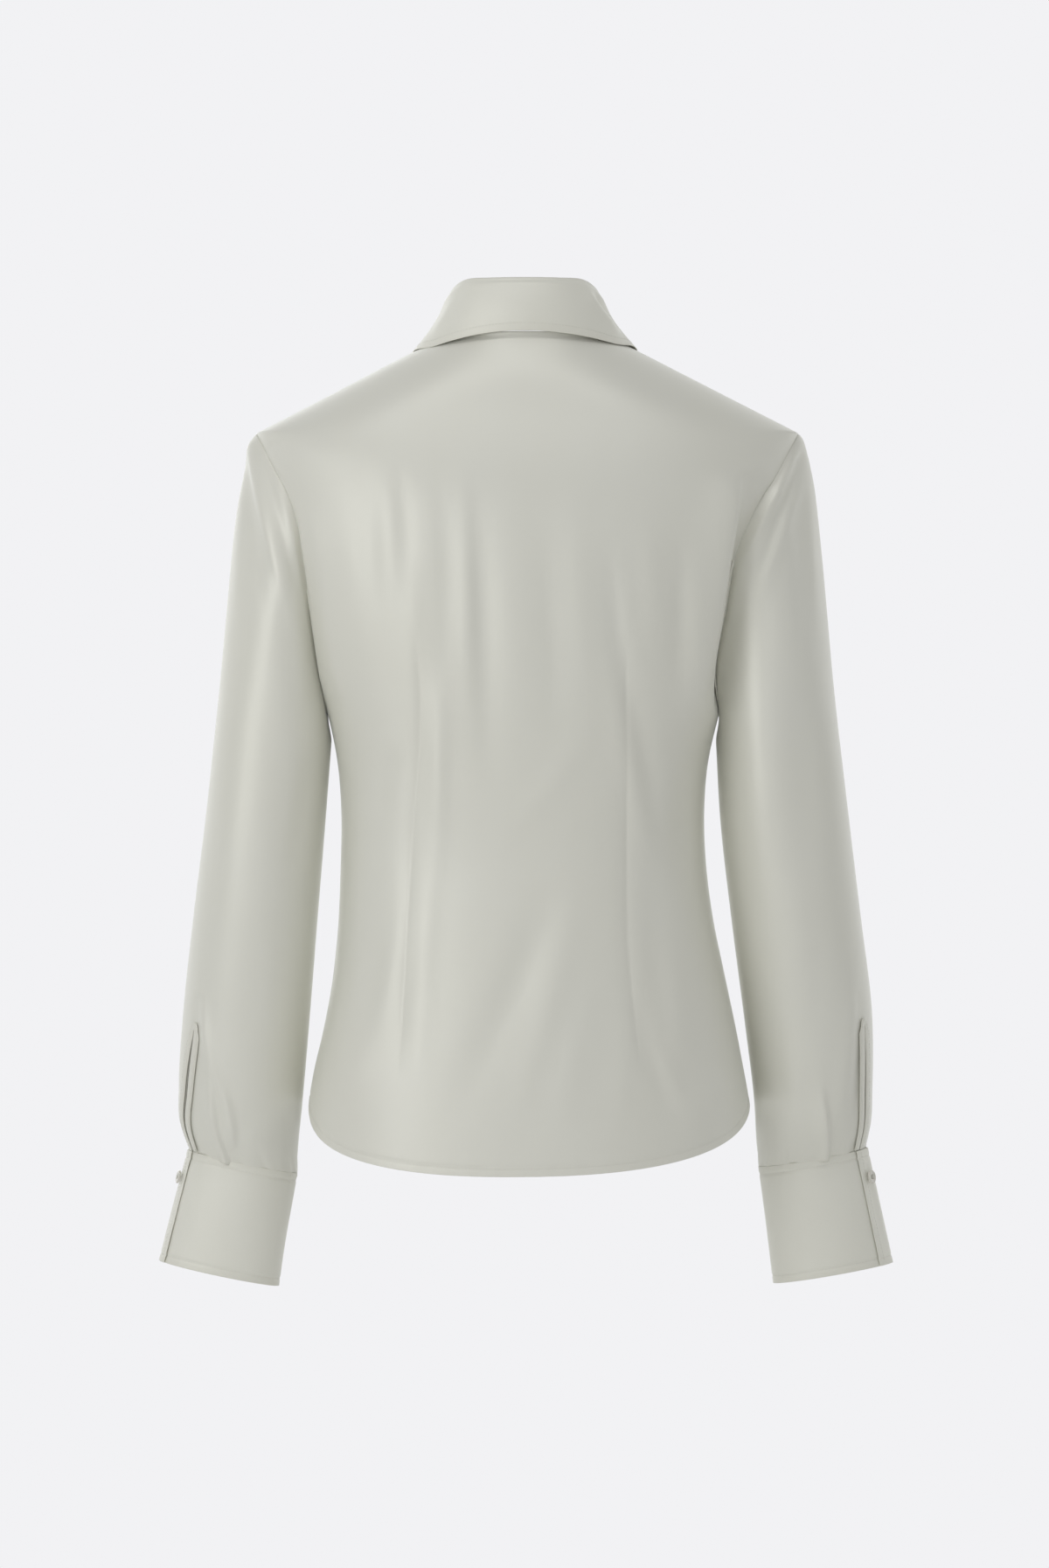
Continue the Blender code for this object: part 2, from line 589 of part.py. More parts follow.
def cuff_point(side, turn, share, lift=0.0):
    """Points of a cuff's outside. turn runs from the under end, all the way round, to the lapped end."""
    cuff = CUFFS[side]
    last = SLEEVE_RINGS[side][-1]
    turn, share = np.broadcast_arrays(np.asarray(turn, float), np.asarray(share, float))
    lean = math.radians(last.lean)
    down = np.array([side * math.sin(lean), cuff.forward / cuff.depth, -math.cos(lean)])
    top = np.array([side * last.reach, last.forward, last.height])
    centre = top + down * (CUFF_GAP + cuff.depth * share)[..., None]
    lap = CUFF_LAP_RISE * smooth_step((turn - 360 - cuff.lap_turn + CUFF_LAP_EASE) / CUFF_LAP_RAMP)
    width = cuff.top_width + (cuff.end_width - cuff.top_width) * share + CUFF_OUTSTAND + lap + lift
    depth = cuff.top_depth + (cuff.end_depth - cuff.top_depth) * share + CUFF_OUTSTAND + lap + lift
    return ring_point(side, turn, centre, width, depth, np.full(turn.shape, float(last.lean)))


def cuff_grid(side):
    cuff = CUFFS[side]
    turns = np.linspace(cuff.under_turn, 360 + cuff.lap_turn, CUFF_COLUMNS + 1)
    return np.array([cuff_point(side, turns, share) for share in np.linspace(0, 1, CUFF_ROWS)])


def binding_grid(side):
    """The binding: up one edge of the slit, round its top and down the other edge, three points wide."""
    slit = SLITS[side]
    bottom = SLEEVE_RINGS[side][-1].height + BINDING_END_GAP
    heights = np.linspace(bottom, slit.top_height, SLIT_ROWS + 1)
    width = math.degrees(BINDING_WIDTH / RINGS[side]["half_width"](slit.top_height))
    rows = []
    for share in (0.0, 0.5, 1.0):
        row = []
        for edge in (1, -1):
            for height in (heights if edge == 1 else heights[::-1]):
                spread = slit_gape(side, height) + width * share
                rise = 0.0
                if height == slit.top_height:
                    spread = BINDING_TOP_GAPE + width * share * BINDING_TOP_SPREAD
                    rise = BINDING_WIDTH * share
                row.append((slit_turn(side, height) + edge * spread, height + rise))
        rows.append(row)
    rows = np.array(rows)
    points = sleeve_surface(side, rows[..., 0], rows[..., 1])
    middle = np.stack([side * RINGS[side]["reach"](rows[..., 1]), RINGS[side]["forward"](rows[..., 1]),
                       points[..., 2]], axis=-1)
    return points + unit(points - middle) * (CLOTH + BINDING_LIFT)


# ---------------------------------------------------------------- collar

def neck_point(turn):
    """Points of the neck seam. turn is 0 at the centre back and +-180 at the centre front, + to the right."""
    turn = np.asarray(turn, float)
    side_reach = np.where(turn < 0, NECK_REACH[LEFT], NECK_REACH[RIGHT])
    angle = np.radians(np.abs(turn))
    behind = np.abs(turn) <= 90
    bend = np.where(behind, NECK_BEND[BACK], NECK_BEND[FRONT])
    reach = np.sign(turn) * side_reach * np.abs(np.sin(angle)) ** bend
    drop = np.where(behind, NECK_DROP[BACK], NECK_DROP[FRONT]) * np.cos(angle) ** 2
    height = NECK_HEIGHT - drop
    back = body_point(BACK, across_at(reach, height), height)
    front = body_point(FRONT, across_at(reach, height), height)
    return np.where(behind[..., None], back, front)


def collar_line(turn, kind):
    """Points of the collar's fold line, or of the fall's lower edge, at a turn from the centre back."""
    size = np.abs(turn)
    x, y, z = (table_curve(COLLAR, f"{kind}_{axis}")(size) for axis in "xyz")
    if kind == "edge":
        z = z + np.where(turn > 0, table_curve(COLLAR, "right_rise")(size), 0)
    return np.stack([np.sign(turn) * x, y, z], axis=-1)


def collar_outward(turn):
    """The level direction away from the neck."""
    points = collar_line(turn, "fold")
    level = points - np.array([0.0, COLLAR_MIDDLE, 0.0])
    level[..., 2] = 0
    return unit(level)


def fall_grid():
    last = COLLAR[-1].turn
    turns = np.linspace(-last, last, 2 * FALL_COLUMNS + 1)
    fold = collar_line(turns, "fold")
    edge = collar_line(turns, "edge")
    outward = collar_outward(turns)
    up = np.array([0.0, 0.0, 1.0])
    rows = [fold - outward * FALL_OVER_STAND - up * ROLL_INNER_DROP]
    for out, drop in ROLL_STEPS:
        rows.append(fold + outward * FALL_ROLL * out - up * drop)
    for share in FALL_SHARES:
        bulge = FALL_BULGE * math.sin(math.pi * share) + FALL_ROLL * (1 - share)
        rows.append(fold + (edge - fold) * share + outward * bulge)
    return np.array(rows)


def stand_point(turn, share, lift=0.0):
    """Points of the stand, from the neck seam (share 0) to its top edge (share 1)."""
    turn, share = np.broadcast_arrays(np.asarray(turn, float), np.asarray(share, float))
    base = neck_point(turn) + np.array([0.0, 0.0, STAND_LIFT])
    outward = collar_outward(turn)
    top = collar_line(turn, "fold") - outward * STAND_TUCK - np.array([0.0, 0.0, STAND_DROP])
    points = base + (top - base) * share[..., None]
    return points + outward * (STAND_BULGE * np.sin(math.pi * share) + lift)[..., None]


def stand_grid():
    """The stand, from its left end, under at the centre front, round the back to its right end on top."""
    last = 179.99              # just short of the centre front, so that each half keeps its own side
    turns = np.linspace(-last, last, 2 * STAND_COLUMNS + 1)
    rows = []
    ends = np.array([180 - STAND_LAP_TURN, -180 + STAND_LAP_TURN])
    for share in np.linspace(0, 1, STAND_ROWS):
        row = stand_point(turns, share)
        sink = smooth_step((-turns - STAND_LAP_START) / (180 - STAND_LAP_START)) * STAND_LAP_RISE
        row = row - collar_outward(turns) * sink[:, None]
        under, over = stand_point(ends, share * STAND_END_HEIGHT)
        under = under - collar_outward(ends[:1])[0] * STAND_LAP_RISE
        rows.append(np.concatenate([[under], row, [over]]))
    return np.array(rows)


# ---------------------------------------------------------------- making objects

def clear_scene():
    for obj in list(bpy.data.objects):
        bpy.data.objects.remove(obj, do_unlink=True)


def new_collection(name):
    collection = bpy.data.collections.new(name)
    bpy.context.scene.collection.children.link(collection)
    return collection


def finish_material(name, colour, roughness):
    material = bpy.data.materials.new(name)
    material.use_nodes = True
    shader = material.node_tree.nodes["Principled BSDF"]
    shader.inputs["Base Color"].default_value = (*colour, 1.0)
    shader.inputs["Roughness"].default_value = roughness
    shader.inputs["Metallic"].default_value = 0.0
    return material


def cloth_piece(collection, name, grid, flip=False, closed_rows=0):
    """A grid of points as an open surface with a wall. The first closed_rows rows join up into rings."""
    rows, columns = grid.shape[:2]
    index = np.arange(rows * columns).reshape(rows, columns)
    if closed_rows:
        index[:closed_rows, -1] = index[:closed_rows, 0]
    faces = []
    for row in range(rows - 1):
        for column in range(columns - 1):
            upper = index[row, column:column + 2].tolist()
            lower = index[row + 1, column:column + 2].tolist()
            face = [upper[0], lower[0], lower[1], upper[1]]
            faces.append(face[::-1] if flip else face)
    used = sorted({corner for face in faces for corner in face})
    place = {corner: number for number, corner in enumerate(used)}
    points = grid.reshape(-1, 3)
    mesh = bpy.data.meshes.new(name)
    mesh.from_pydata([points[corner].tolist() for corner in used], [],
                     [[place[corner] for corner in face] for face in faces])
    mesh.shade_smooth()
    obj = bpy.data.objects.new(name, mesh)
    collection.objects.link(obj)
    wall = obj.modifiers.new("Wall", "SOLIDIFY")
    wall.thickness = CLOTH
    wall.offset = -1.0
    wall.use_rim = True
    mesh.materials.append(finish_material(f"{name}_satin", *SATIN))
    return obj


def button_piece(collection, name, point, outward):
    """A button lying on the cloth: a flat disc with rounded edges."""
    bpy.ops.mesh.primitive_cylinder_add(vertices=BUTTON_SIDES, radius=BUTTON_SIZE / 2, depth=BUTTON_THICKNESS)
    obj = bpy.context.active_object
    obj.name = name
    obj.data.name = name
    outward = Vector(outward)
    obj.location = Vector(point) + outward * (BUTTON_LIFT + BUTTON_THICKNESS / 2)
    obj.rotation_mode = "QUATERNION"
    obj.rotation_quaternion = outward.to_track_quat("Z", "Y")
    edge = obj.modifiers.new("Edge", "BEVEL")
    edge.width = BUTTON_CORNER
    edge.segments = 1
    obj.data.materials.append(finish_material(f"{name}_pearl", *PEARL))
    for other in obj.users_collection:
        other.objects.unlink(obj)
    collection.objects.link(obj)
    return obj


def make_body(collection):
    left = panel_points(BACK, LEFT)
    right = panel_points(BACK, RIGHT)[:, ::-1]
    cloth_piece(collection, "back", np.concatenate([left, right[:, 1:]], axis=1))
    cloth_piece(collection, "front_left", panel_points(FRONT, LEFT), flip=True)
    cloth_piece(collection, "front_right", panel_points(FRONT, RIGHT))


def make_sleeves(collection):
    for side, word in ((LEFT, "left"), (RIGHT, "right")):
        rings = 1 + CAP_ROWS + len(SLEEVE_ROWS) + 1
        flip = side == RIGHT
        cloth_piece(collection, f"sleeve_{word}", sleeve_grid(side), flip, closed_rows=rings)
        cloth_piece(collection, f"cuff_{word}", cuff_grid(side), flip)
        cloth_piece(collection, f"slit_binding_{word}", binding_grid(side), flip)


def make_collar(collection):
    cloth_piece(collection, "collar_stand", stand_grid(), flip=True)
    cloth_piece(collection, "collar_fall", fall_grid())


def make_buttons(collection):
    centre = panel_points(FRONT, RIGHT)[::-1, -2]
    for number in range(FRONT_BUTTONS):
        height = FIRST_BUTTON - BUTTON_SPACING * number
        spot = (0.0, np.interp(height, centre[:, 2], centre[:, 1]), height)
        button_piece(collection, f"button_front_{number + 1}", spot, body_outward(FRONT, 0.001, height))
    spot = stand_point(179.99, STAND_BUTTON_SHARE)
    button_piece(collection, "button_collar", spot, STAND_BUTTON_WAY)
    for side, word in ((LEFT, "left"), (RIGHT, "right")):
        cuff = CUFFS[side]
        share = CUFF_BUTTON_DROP / cuff.depth
        turn = 360 + cuff.button_turn
        around = cuff_point(side, turn + 1, share) - cuff_point(side, turn - 1, share)
        down = cuff_point(side, turn, share + 0.05) - cuff_point(side, turn, share - 0.05)
        outward = unit(np.cross(around, down)) * side
        button_piece(collection, f"button_cuff_{word}", cuff_point(side, turn, share), outward)


def main():
    clear_scene()
    collection = new_collection("silk_blouse")
    make_body(collection)
    make_sleeves(collection)
    make_collar(collection)
    make_buttons(collection)


main()
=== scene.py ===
"""Silk blouse: the looks of a long-sleeved ivory satin shirt, filled out as it is worn.

Axes: +Z is up, +Y is the wearer's front and +X the wearer's right. Sizes are in metres, except in the
tables of creases, which are in millimetres. Every cloth piece is a thin shell on the form of its solid.
"""

import math
from collections import namedtuple

import bpy
import numpy as np
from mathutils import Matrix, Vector


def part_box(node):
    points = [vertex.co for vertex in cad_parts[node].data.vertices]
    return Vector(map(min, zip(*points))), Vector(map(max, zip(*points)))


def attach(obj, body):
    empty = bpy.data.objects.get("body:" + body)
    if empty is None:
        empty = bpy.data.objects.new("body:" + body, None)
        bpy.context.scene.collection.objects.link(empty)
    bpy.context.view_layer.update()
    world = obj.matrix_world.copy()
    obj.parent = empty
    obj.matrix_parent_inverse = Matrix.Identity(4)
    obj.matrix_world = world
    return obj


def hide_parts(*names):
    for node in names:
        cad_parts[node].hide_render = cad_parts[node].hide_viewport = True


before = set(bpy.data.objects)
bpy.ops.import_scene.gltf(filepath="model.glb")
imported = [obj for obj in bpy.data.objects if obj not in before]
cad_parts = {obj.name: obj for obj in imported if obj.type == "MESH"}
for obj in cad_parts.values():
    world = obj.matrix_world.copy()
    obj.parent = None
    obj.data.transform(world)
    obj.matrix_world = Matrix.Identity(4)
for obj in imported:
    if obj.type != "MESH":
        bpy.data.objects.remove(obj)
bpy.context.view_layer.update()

bl_info = {
    "name": "Silk Blouse",
    "version": (1, 0, 0),
    "blender": (4, 5, 0),
    "location": "3D View > Sidebar > Silk Blouse",
    "description": "Makes the cloth, seams, stitches and buttons of a satin blouse, and a studio for it",
    "category": "Object",
}

MM = 0.001
SEAM_GAP = 0.00025
LEFT, RIGHT = -1, 1
BACK, FRONT = -1, 1
SIDE_WORDS = {LEFT: "left", RIGHT: "right"}

# ---- form, as in the solids

TIP_HEIGHT = -0.0715
TIP_REACH = {LEFT: 0.1975, RIGHT: 0.2020}
NECK_HEIGHT = -0.003
NECK_REACH = {LEFT: 0.065, RIGHT: 0.068}
NECK_DROP = {BACK: -0.0035, FRONT: 0.069}
NECK_BEND = {BACK: 1.0, FRONT: 0.9}
SETTLED_HEIGHT = -0.163     # below this the rows of the panels are level
UNDERARM_HEIGHT = -0.278

SIDE_HEM = -0.564
BACK_HEM = -0.613
FRONT_HEM = -0.603
HEM_TURN_HEIGHT = -0.505
HEM_SLOW, HEM_STEEP = 0.90, 0.10
HEM_STEEPNESS = 6
HEM_LEAN = 0.0035           # the back hem rises by this towards the right and falls as much towards the left
FRONT_LAP = 0.015
UNDER_LAP_DROP = 0.0020     # how far the left front sinks where the right one laps over it
UNDER_LAP_EASE = 0.045

SideRow = namedtuple("SideRow", "height left right")
SIDES = [SideRow(*row) for row in (
    (-0.0715, 0.1975, 0.2020),
    (-0.118, 0.1880, 0.1915),
    (-0.163, 0.1770, 0.1785),
    (-0.222, 0.1615, 0.1610),
    (-0.278, 0.1450, 0.1435),
    (-0.313, 0.1380, 0.1355),
    (-0.352, 0.1350, 0.1325),
    (-0.390, 0.1355, 0.1340),
    (-0.429, 0.1370, 0.1390),
    (-0.468, 0.1400, 0.1470),
    (-0.506, 0.1470, 0.1550),
    (-0.545, 0.1560, 0.1625),
    (-0.564, 0.1590, 0.1660),
    (-0.620, 0.1650, 0.1720),
)]

DepthRow = namedtuple("DepthRow", "height back front squareness")
DEPTHS = [DepthRow(*row) for row in (
    (-0.003, 0.056, 0.004, 2.00),
    (-0.014, 0.060, 0.028, 2.02),
    (-0.036, 0.070, 0.0445, 2.06),
    (-0.055, 0.080, 0.0565, 2.10),
    (-0.072, 0.088, 0.0640, 2.15),
    (-0.110, 0.101, 0.0860, 2.30),
    (-0.150, 0.107, 0.1030, 2.40),
    (-0.200, 0.107, 0.1170, 2.45),
    (-0.266, 0.103, 0.1240, 2.50),
    (-0.330, 0.098, 0.1160, 2.40),
    (-0.390, 0.095, 0.1060, 2.30),
    (-0.450, 0.100, 0.1080, 2.30),
    (-0.520, 0.110, 0.1140, 2.30),
    (-0.620, 0.119, 0.1200, 2.30),
)]

ArmholeRow = namedtuple("ArmholeRow", "height back front")
ARMHOLE = [ArmholeRow(*row) for row in (
    (-0.0715, 1.000, 1.000),
    (-0.081, 0.984, 0.972),
    (-0.100, 0.953, 0.905),
    (-0.118, 0.920, 0.855),
    (-0.141, 0.907, 0.828),
    (-0.163, 0.915, 0.828),
    (-0.192, 0.932, 0.848),
    (-0.222, 0.954, 0.884),
    (-0.248, 0.974, 0.930),
    (-0.266, 0.988, 0.967),
    (-0.278, 1.000, 1.000),
)]

# Behind the arm the back panel folds over its own armhole seam: how far the seam sinks forwards and inwards
TuckRow = namedtuple("TuckRow", "height forward inward")
TUCKS = {
    LEFT: [TuckRow(*row) for row in (
        (-0.110, 0.000, 0.000),
        (-0.150, 0.004, 0.000),
        (-0.200, 0.007, 0.001),
        (-0.250, 0.006, 0.001),
        (-0.278, 0.000, 0.000),
    )],
    RIGHT: [TuckRow(*row) for row in (
        (-0.110, 0.000, 0.000),
        (-0.140, 0.003, 0.005),
        (-0.163, 0.006, 0.010),
        (-0.200, 0.008, 0.011),
        (-0.250, 0.007, 0.010),
        (-0.278, 0.000, 0.000),
    )],
}
TUCK_WIDTH = {LEFT: 0.014, RIGHT: 0.020}
ARMHOLE_STEPS = 90

DartRow = namedtuple("DartRow", "height left right")
DARTS = [DartRow(*row) for row in (
    (-0.163, 0.0865, 0.0750),
    (-0.275, 0.0755, 0.0740),
    (-0.370, 0.0820, 0.0745),
    (-0.450, 0.0860, 0.0755),
    (-0.545, 0.0920, 0.0850),
)]
DART_TOP = -0.205
DART_BOTTOM = -0.555
DART_FADE = 5               # a dart fades over a fifth of its length at each end
DART_SOFT_DEPTH, DART_SOFT_WIDTH = 0.0010, 0.0065
DART_LINE_DEPTH, DART_LINE_WIDTH = 0.0006, 0.0013
DART_COLUMN = 0.49         # which of a row's columns follows the dart, as a share from the centre

SleeveRing = namedtuple("SleeveRing", "height reach forward half_width half_depth lean")
SLEEVE_RINGS = {
    LEFT: [SleeveRing(*row) for row in (
        (-0.300, 0.1856, 0.000, 0.0432, 0.055, 0),
        (-0.352, 0.1906, 0.002, 0.0442, 0.055, 0),
        (-0.429, 0.1987, 0.007, 0.0458, 0.053, 2),
        (-0.506, 0.2061, 0.015, 0.0468, 0.050, 5),
        (-0.560, 0.2103, 0.022, 0.0462, 0.047, 8),
        (-0.590, 0.2115, 0.026, 0.0445, 0.042, 11),
        (-0.6095, 0.2085, 0.029, 0.0405, 0.0355, 12),
    )],
    RIGHT: [SleeveRing(*row) for row in (
        (-0.300, 0.1868, 0.000, 0.0455, 0.055, 0),
        (-0.352, 0.1914, 0.002, 0.0473, 0.055, 0),
        (-0.429, 0.2006, 0.007, 0.0477, 0.053, 2),
        (-0.506, 0.2103, 0.015, 0.0471, 0.050, 5),
        (-0.560, 0.2140, 0.022, 0.0442, 0.047, 8),
        (-0.590, 0.2143, 0.026, 0.0427, 0.042, 9),
        (-0.6065, 0.2135, 0.029, 0.0400, 0.0355, 10),
    )],
}
SLEEVE_TOP = -0.300
CAP_SEAM_GAP = 0.0005
CAP_START = (0.70, 0.30, 0.65)      # the cap's way from its seam: out, round the arm and down
CAP_START_PULL = 0.27
CAP_END_STEP = 0.002       # the cap ends the way the sleeve runs over this much of its top
CAP_CLOSENESS = 1.25       # the cap's rows are closer together at the seam

Slit = namedtuple("Slit", "top_height top_turn bottom_turn gape")
SLITS = {LEFT: Slit(-0.5147, 41, 27, 0.0032), RIGHT: Slit(-0.5115, 35, 34, 0.0016)}
SLIT_BULGE = (0.80, 0.86, 0.25)      # power and length of its arch, and how wide it ends
BINDING_WIDTH = 0.006
BINDING_LIFT = 0.0015
BINDING_END_GAP = 0.0006
BINDING_TOP_SPREAD = 0.6
BINDING_TOP_GAPE = 0.4
BINDING_CROWN = 0.0004
BINDING_STITCH_INSET = 0.0009

Pleat = namedtuple("Pleat", "top_turn top_height bottom_turn bottom_height depth width")
PLEATS = {LEFT: Pleat(60, -0.530, 73, -0.602, 0.0036, 10), RIGHT: Pleat(85, -0.545, 77, -0.600, 0.0036, 10)}
PLEAT_RISE = 1.5
PLEAT_SHARP_SIDE = 0.22

Cuff = namedtuple(
    "Cuff", "depth top_width top_depth end_width end_depth forward lap_turn under_turn button_turn")
CUFFS = {
    LEFT: Cuff(0.085, 0.0403, 0.0345, 0.0442, 0.032, 0.006, 25, -9, 10),
    RIGHT: Cuff(0.087, 0.0400, 0.0345, 0.0440, 0.032, 0.006, 40, 6, 26),
}
CUFF_GAP = 0.0004
CUFF_PINCH = 0.0011
CUFF_INSIDE = (0.0012, 0.0035)      # how far the sleeve's last rows reach into the cuff
CUFF_INSIDE_DROP = 0.0001
CUFF_LAP_RISE = 0.0014
CUFF_LAP_EASE = 60
CUFF_LAP_RAMP = 36
CUFF_BUTTON_DROP = 0.021
CUFF_OUTSTAND = 0.0008
CUFF_UNDER_SINK = 0.0004    # towards the wrist, the end under the lap sinks inwards by this
CUFF_UNDER_EASE = 30
CUFF_LAP_END_EASE = 12
CUFF_WAVE = 0.0006
CUFF_WAVES, CUFF_WAVE_SLANT = 3, 2  # soft waves round a cuff, and how far they slant down it, in radians
CUFF_PINCH_TURN, CUFF_PINCH_WIDTH = 15, 9
CUFF_PINCH_SPAN = (0.15, 0.95)
CUFF_PUCKERS, CUFF_PUCKER_SHARE = 34, 0.7

CollarRow = namedtuple("CollarRow", "turn fold_x fold_y fold_z edge_x edge_y edge_z right_rise")
COLLAR = [CollarRow(*row) for row in (
    (0, 0.000, -0.0500, 0.0403, 0.000, -0.0600, 0.0010, 0.0000),
    (25, 0.025, -0.0458, 0.0402, 0.030, -0.0552, -0.0011, 0.0002),
    (45, 0.0415, -0.0355, 0.0398, 0.0510, -0.0452, -0.0050, 0.0011),
    (60, 0.0497, -0.0250, 0.0358, 0.066, -0.0325, -0.0088, 0.0019),
    (90, 0.056, 0.0020, 0.0220, 0.083, 0.0000, -0.0120, 0.0028),
    (120, 0.051, 0.0300, 0.0020, 0.081, 0.0440, -0.0336, 0.0030),
    (150, 0.030, 0.0500, -0.0230, 0.067, 0.0730, -0.0680, 0.0010),
    (175, 0.005, 0.0580, -0.0400, 0.045, 0.0910, -0.0980, 0.0000),
)]
FALL_SHARES = [0.10, 0.24, 0.42, 0.62, 0.82, 1.0]
FALL_BULGE = 0.004
FALL_SIDE_BULGE = -0.0018
FALL_OVER_STAND = 0.0020
FALL_ROLL = 0.0025
FALL_SIDE_TURN, FALL_SIDE_SPREAD = 78, 34
FALL_PUCKERS, FALL_PUCKER_SHARE = 28, 0.6
FALL_ROLL_ROWS = 4          # the points' stitching starts this many rows down
ROLL_STEPS = ((0.4, 0.0), (0.9, 0.0022))     # share of the roll outwards, and fall
ROLL_INNER_DROP = 0.0003
COLLAR_MIDDLE = 0.004
STAND_DROP = 0.0026
STAND_TUCK = 0.0015
STAND_LIFT = 0.0007
STAND_LAP_TURN = 11.25
STAND_LAP_RISE = 0.0025
STAND_END_HEIGHT = 0.88
STAND_LAP_START = 135
STAND_LAP_STEPS = 4
STAND_BULGE = 0.0015
STAND_STITCH_INSET = 0.0015
CENTRE_TURN = 179.99
STAND_BUTTON_SHARE = 0.45
STAND_BUTTON_WAY = (0.0, 0.97, 0.25)

FRONT_BUTTONS = 6
FIRST_BUTTON = -0.132
BUTTON_SPACING = 0.078
BESIDE_CENTRE = 0.001       # how far beside the centre a button's way is taken, as a share across
BUTTON_LIFT = 0.0006

# ---- creases

# A crease runs from its start through its middle to its end, seen square from behind or in front, in
# millimetres: x to the wearer's right, z up. Its depth is above 0 for a ridge. The two widths are on its
# left and right, going down. It rises over the head's share of its length and falls over the tail's.
Crease = namedtuple("Crease", "x0 z0 x1 z1 x2 z2 depth left right head tail")


def creases(usual, rows):
    """Creases from their rows. The usual share stands for the head and tail where a row gives none."""
    return [Crease(*row, *(usual, usual)[len(row) - 9:]) for row in rows]


BACK_CREASES = creases(0.5, (
    # left of the middle
    (-118, -85, -113, -150, -109, -222, -1.3, 9, 9),
    (-102, -74, -98, -165, -95, -262, 1.0, 8, 10),
    (-95, -82, -87, -140, -86, -205, -1.1, 6, 7),
    (-77, -128, -81, -225, -77, -322, 1.2, 9, 9),
    (-64, -76, -57, -180, -61, -284, -1.2, 7, 9),
    (-44, -80, -41, -190, -42, -307, 1.1, 6, 6),
    (-38, -92, -30, -215, -25, -364, -2.3, 8, 11),
    (-62, -236, -62, -320, -65, -418, 2.0, 7, 7),
    (-62, -333, -72, -450, -80, -593, 1.4, 9, 8),
    (-96, -300, -103, -330, -110, -360, -1.1, 9, 9, 0.35, 0.35),
    (-78, -374, -96, -465, -127, -562, 1.8, 13, 12),
    (-113, -494, -126, -540, -148, -574, 1.8, 11, 14),
    (-102, -428, -112, -480, -128, -519, -1.2, 8, 8),
    (-119, -309, -122, -400, -127, -491, 0.8, 8, 8),
    # middle
    (-11, -80, -6, -210, 7, -366, 1.1, 14, 14),
    (12, -103, 20, -220, 23, -324, -1.0, 9, 9),
    (35, -83, 40, -200, 48, -317, 1.0, 9, 11),
    (62, -265, 20, -330, -32, -385, 0.8, 10, 10),
    (26, -382, -8, -480, -65, -600, -2.4, 14, 12),
    (39, -391, 16, -495, -20, -599, 1.7, 11, 12),
    (50, -452, 34, -530, 21, -600, 1.0, 12, 12),
    # right of the middle
    (60, -140, 68, -225, 78, -310, -1.8, 8, 6),
    (63, -222, 76, -320, 97, -404, 1.8, 9, 7),
    (76, -228, 86, -300, 109, -410, -1.9, 6, 9),
    (87, -112, 92, -190, 97, -268, 1.0, 8, 9),
    (112, -132, 113, -210, 109, -288, -1.3, 7, 7),
    (123, -130, 124, -215, 118, -312, 1.3, 7, 8),
    (117, -300, 114, -365, 117, -430, -1.7, 10, 9),
    (88, -359, 96, -450, 101, -541, -1.4, 11, 11),
    (102, -412, 110, -490, 118, -562, 1.1, 8, 8),
    # lower right
    (84, -465, 92, -530, 118, -586, -1.3, 6, 6),
    (100, -520, 108, -545, 122, -578, 0.9, 6, 6, 0.35, 0.3),
    (150, -530, 136, -556, 112, -582, 2.4, 12, 10, 0.35, 0.3),
    (75, -452, 72, -530, 64, -600, 0.8, 9, 9),
    # shoulder corners
    (-189, -84, -183, -82, -173, -86, -0.9, 3, 3, 0.35, 0.35),
    (-190, -92, -182, -96, -168, -112, 1.2, 5, 5, 0.35, 0.35),
    (-184, -102, -174, -114, -166, -138, -1.0, 4, 4, 0.35, 0.35),
    (150, -108, 166, -100, 184, -97, 1.0, 4, 4, 0.35, 0.35),
    (158, -124, 168, -112, 178, -104, -1.0, 4, 4, 0.35, 0.35),
    # fullness below the shoulder seams
    (-150, -76, 0, -30, 156, -86, 2.2, 20, 20, 0.3, 0.3),
    # fold over the armhole seam, left and right
    (-170, -118, -158, -195, -141, -283, 4.4, 4, 15, 0.25, 0.2),
    (155, -97, 146, -180, 131, -306, 7.0, 18, 4, 0.2, 0.2),
))

FRONT_CREASES = creases(0.35, (
    (-62, -150, -68, -270, -60, -400, 5.4, 16, 20),
    (-100, -200, -104, -330, -98, -470, -5.4, 15, 18),
    (-36, -300, -42, -430, -50, -560, -4.2, 13, 15, 0.35, 0.3),
    (-118, -290, -112, -370, -90, -450, 3.9, 12, 14),
    (-140, -130, -124, -180, -96, -215, 4.8, 9, 10, 0.35, 0.4),
    (-122, -420, -124, -490, -132, -560, 4.5, 14, 12, 0.35, 0.3),
    (66, -160, 62, -280, 70, -410, -5.1, 18, 15),
    (102, -190, 98, -320, 106, -450, 5.4, 16, 18),
    (40, -330, 48, -450, 44, -570, 4.2, 14, 13, 0.35, 0.3),
    (120, -300, 112, -380, 88, -460, -4.2, 12, 14),
    (142, -132, 128, -176, 100, -205, -4.5, 9, 9, 0.35, 0.4),
    (124, -440, 128, -500, 138, -566, -3.9, 13, 14, 0.35, 0.3),
))

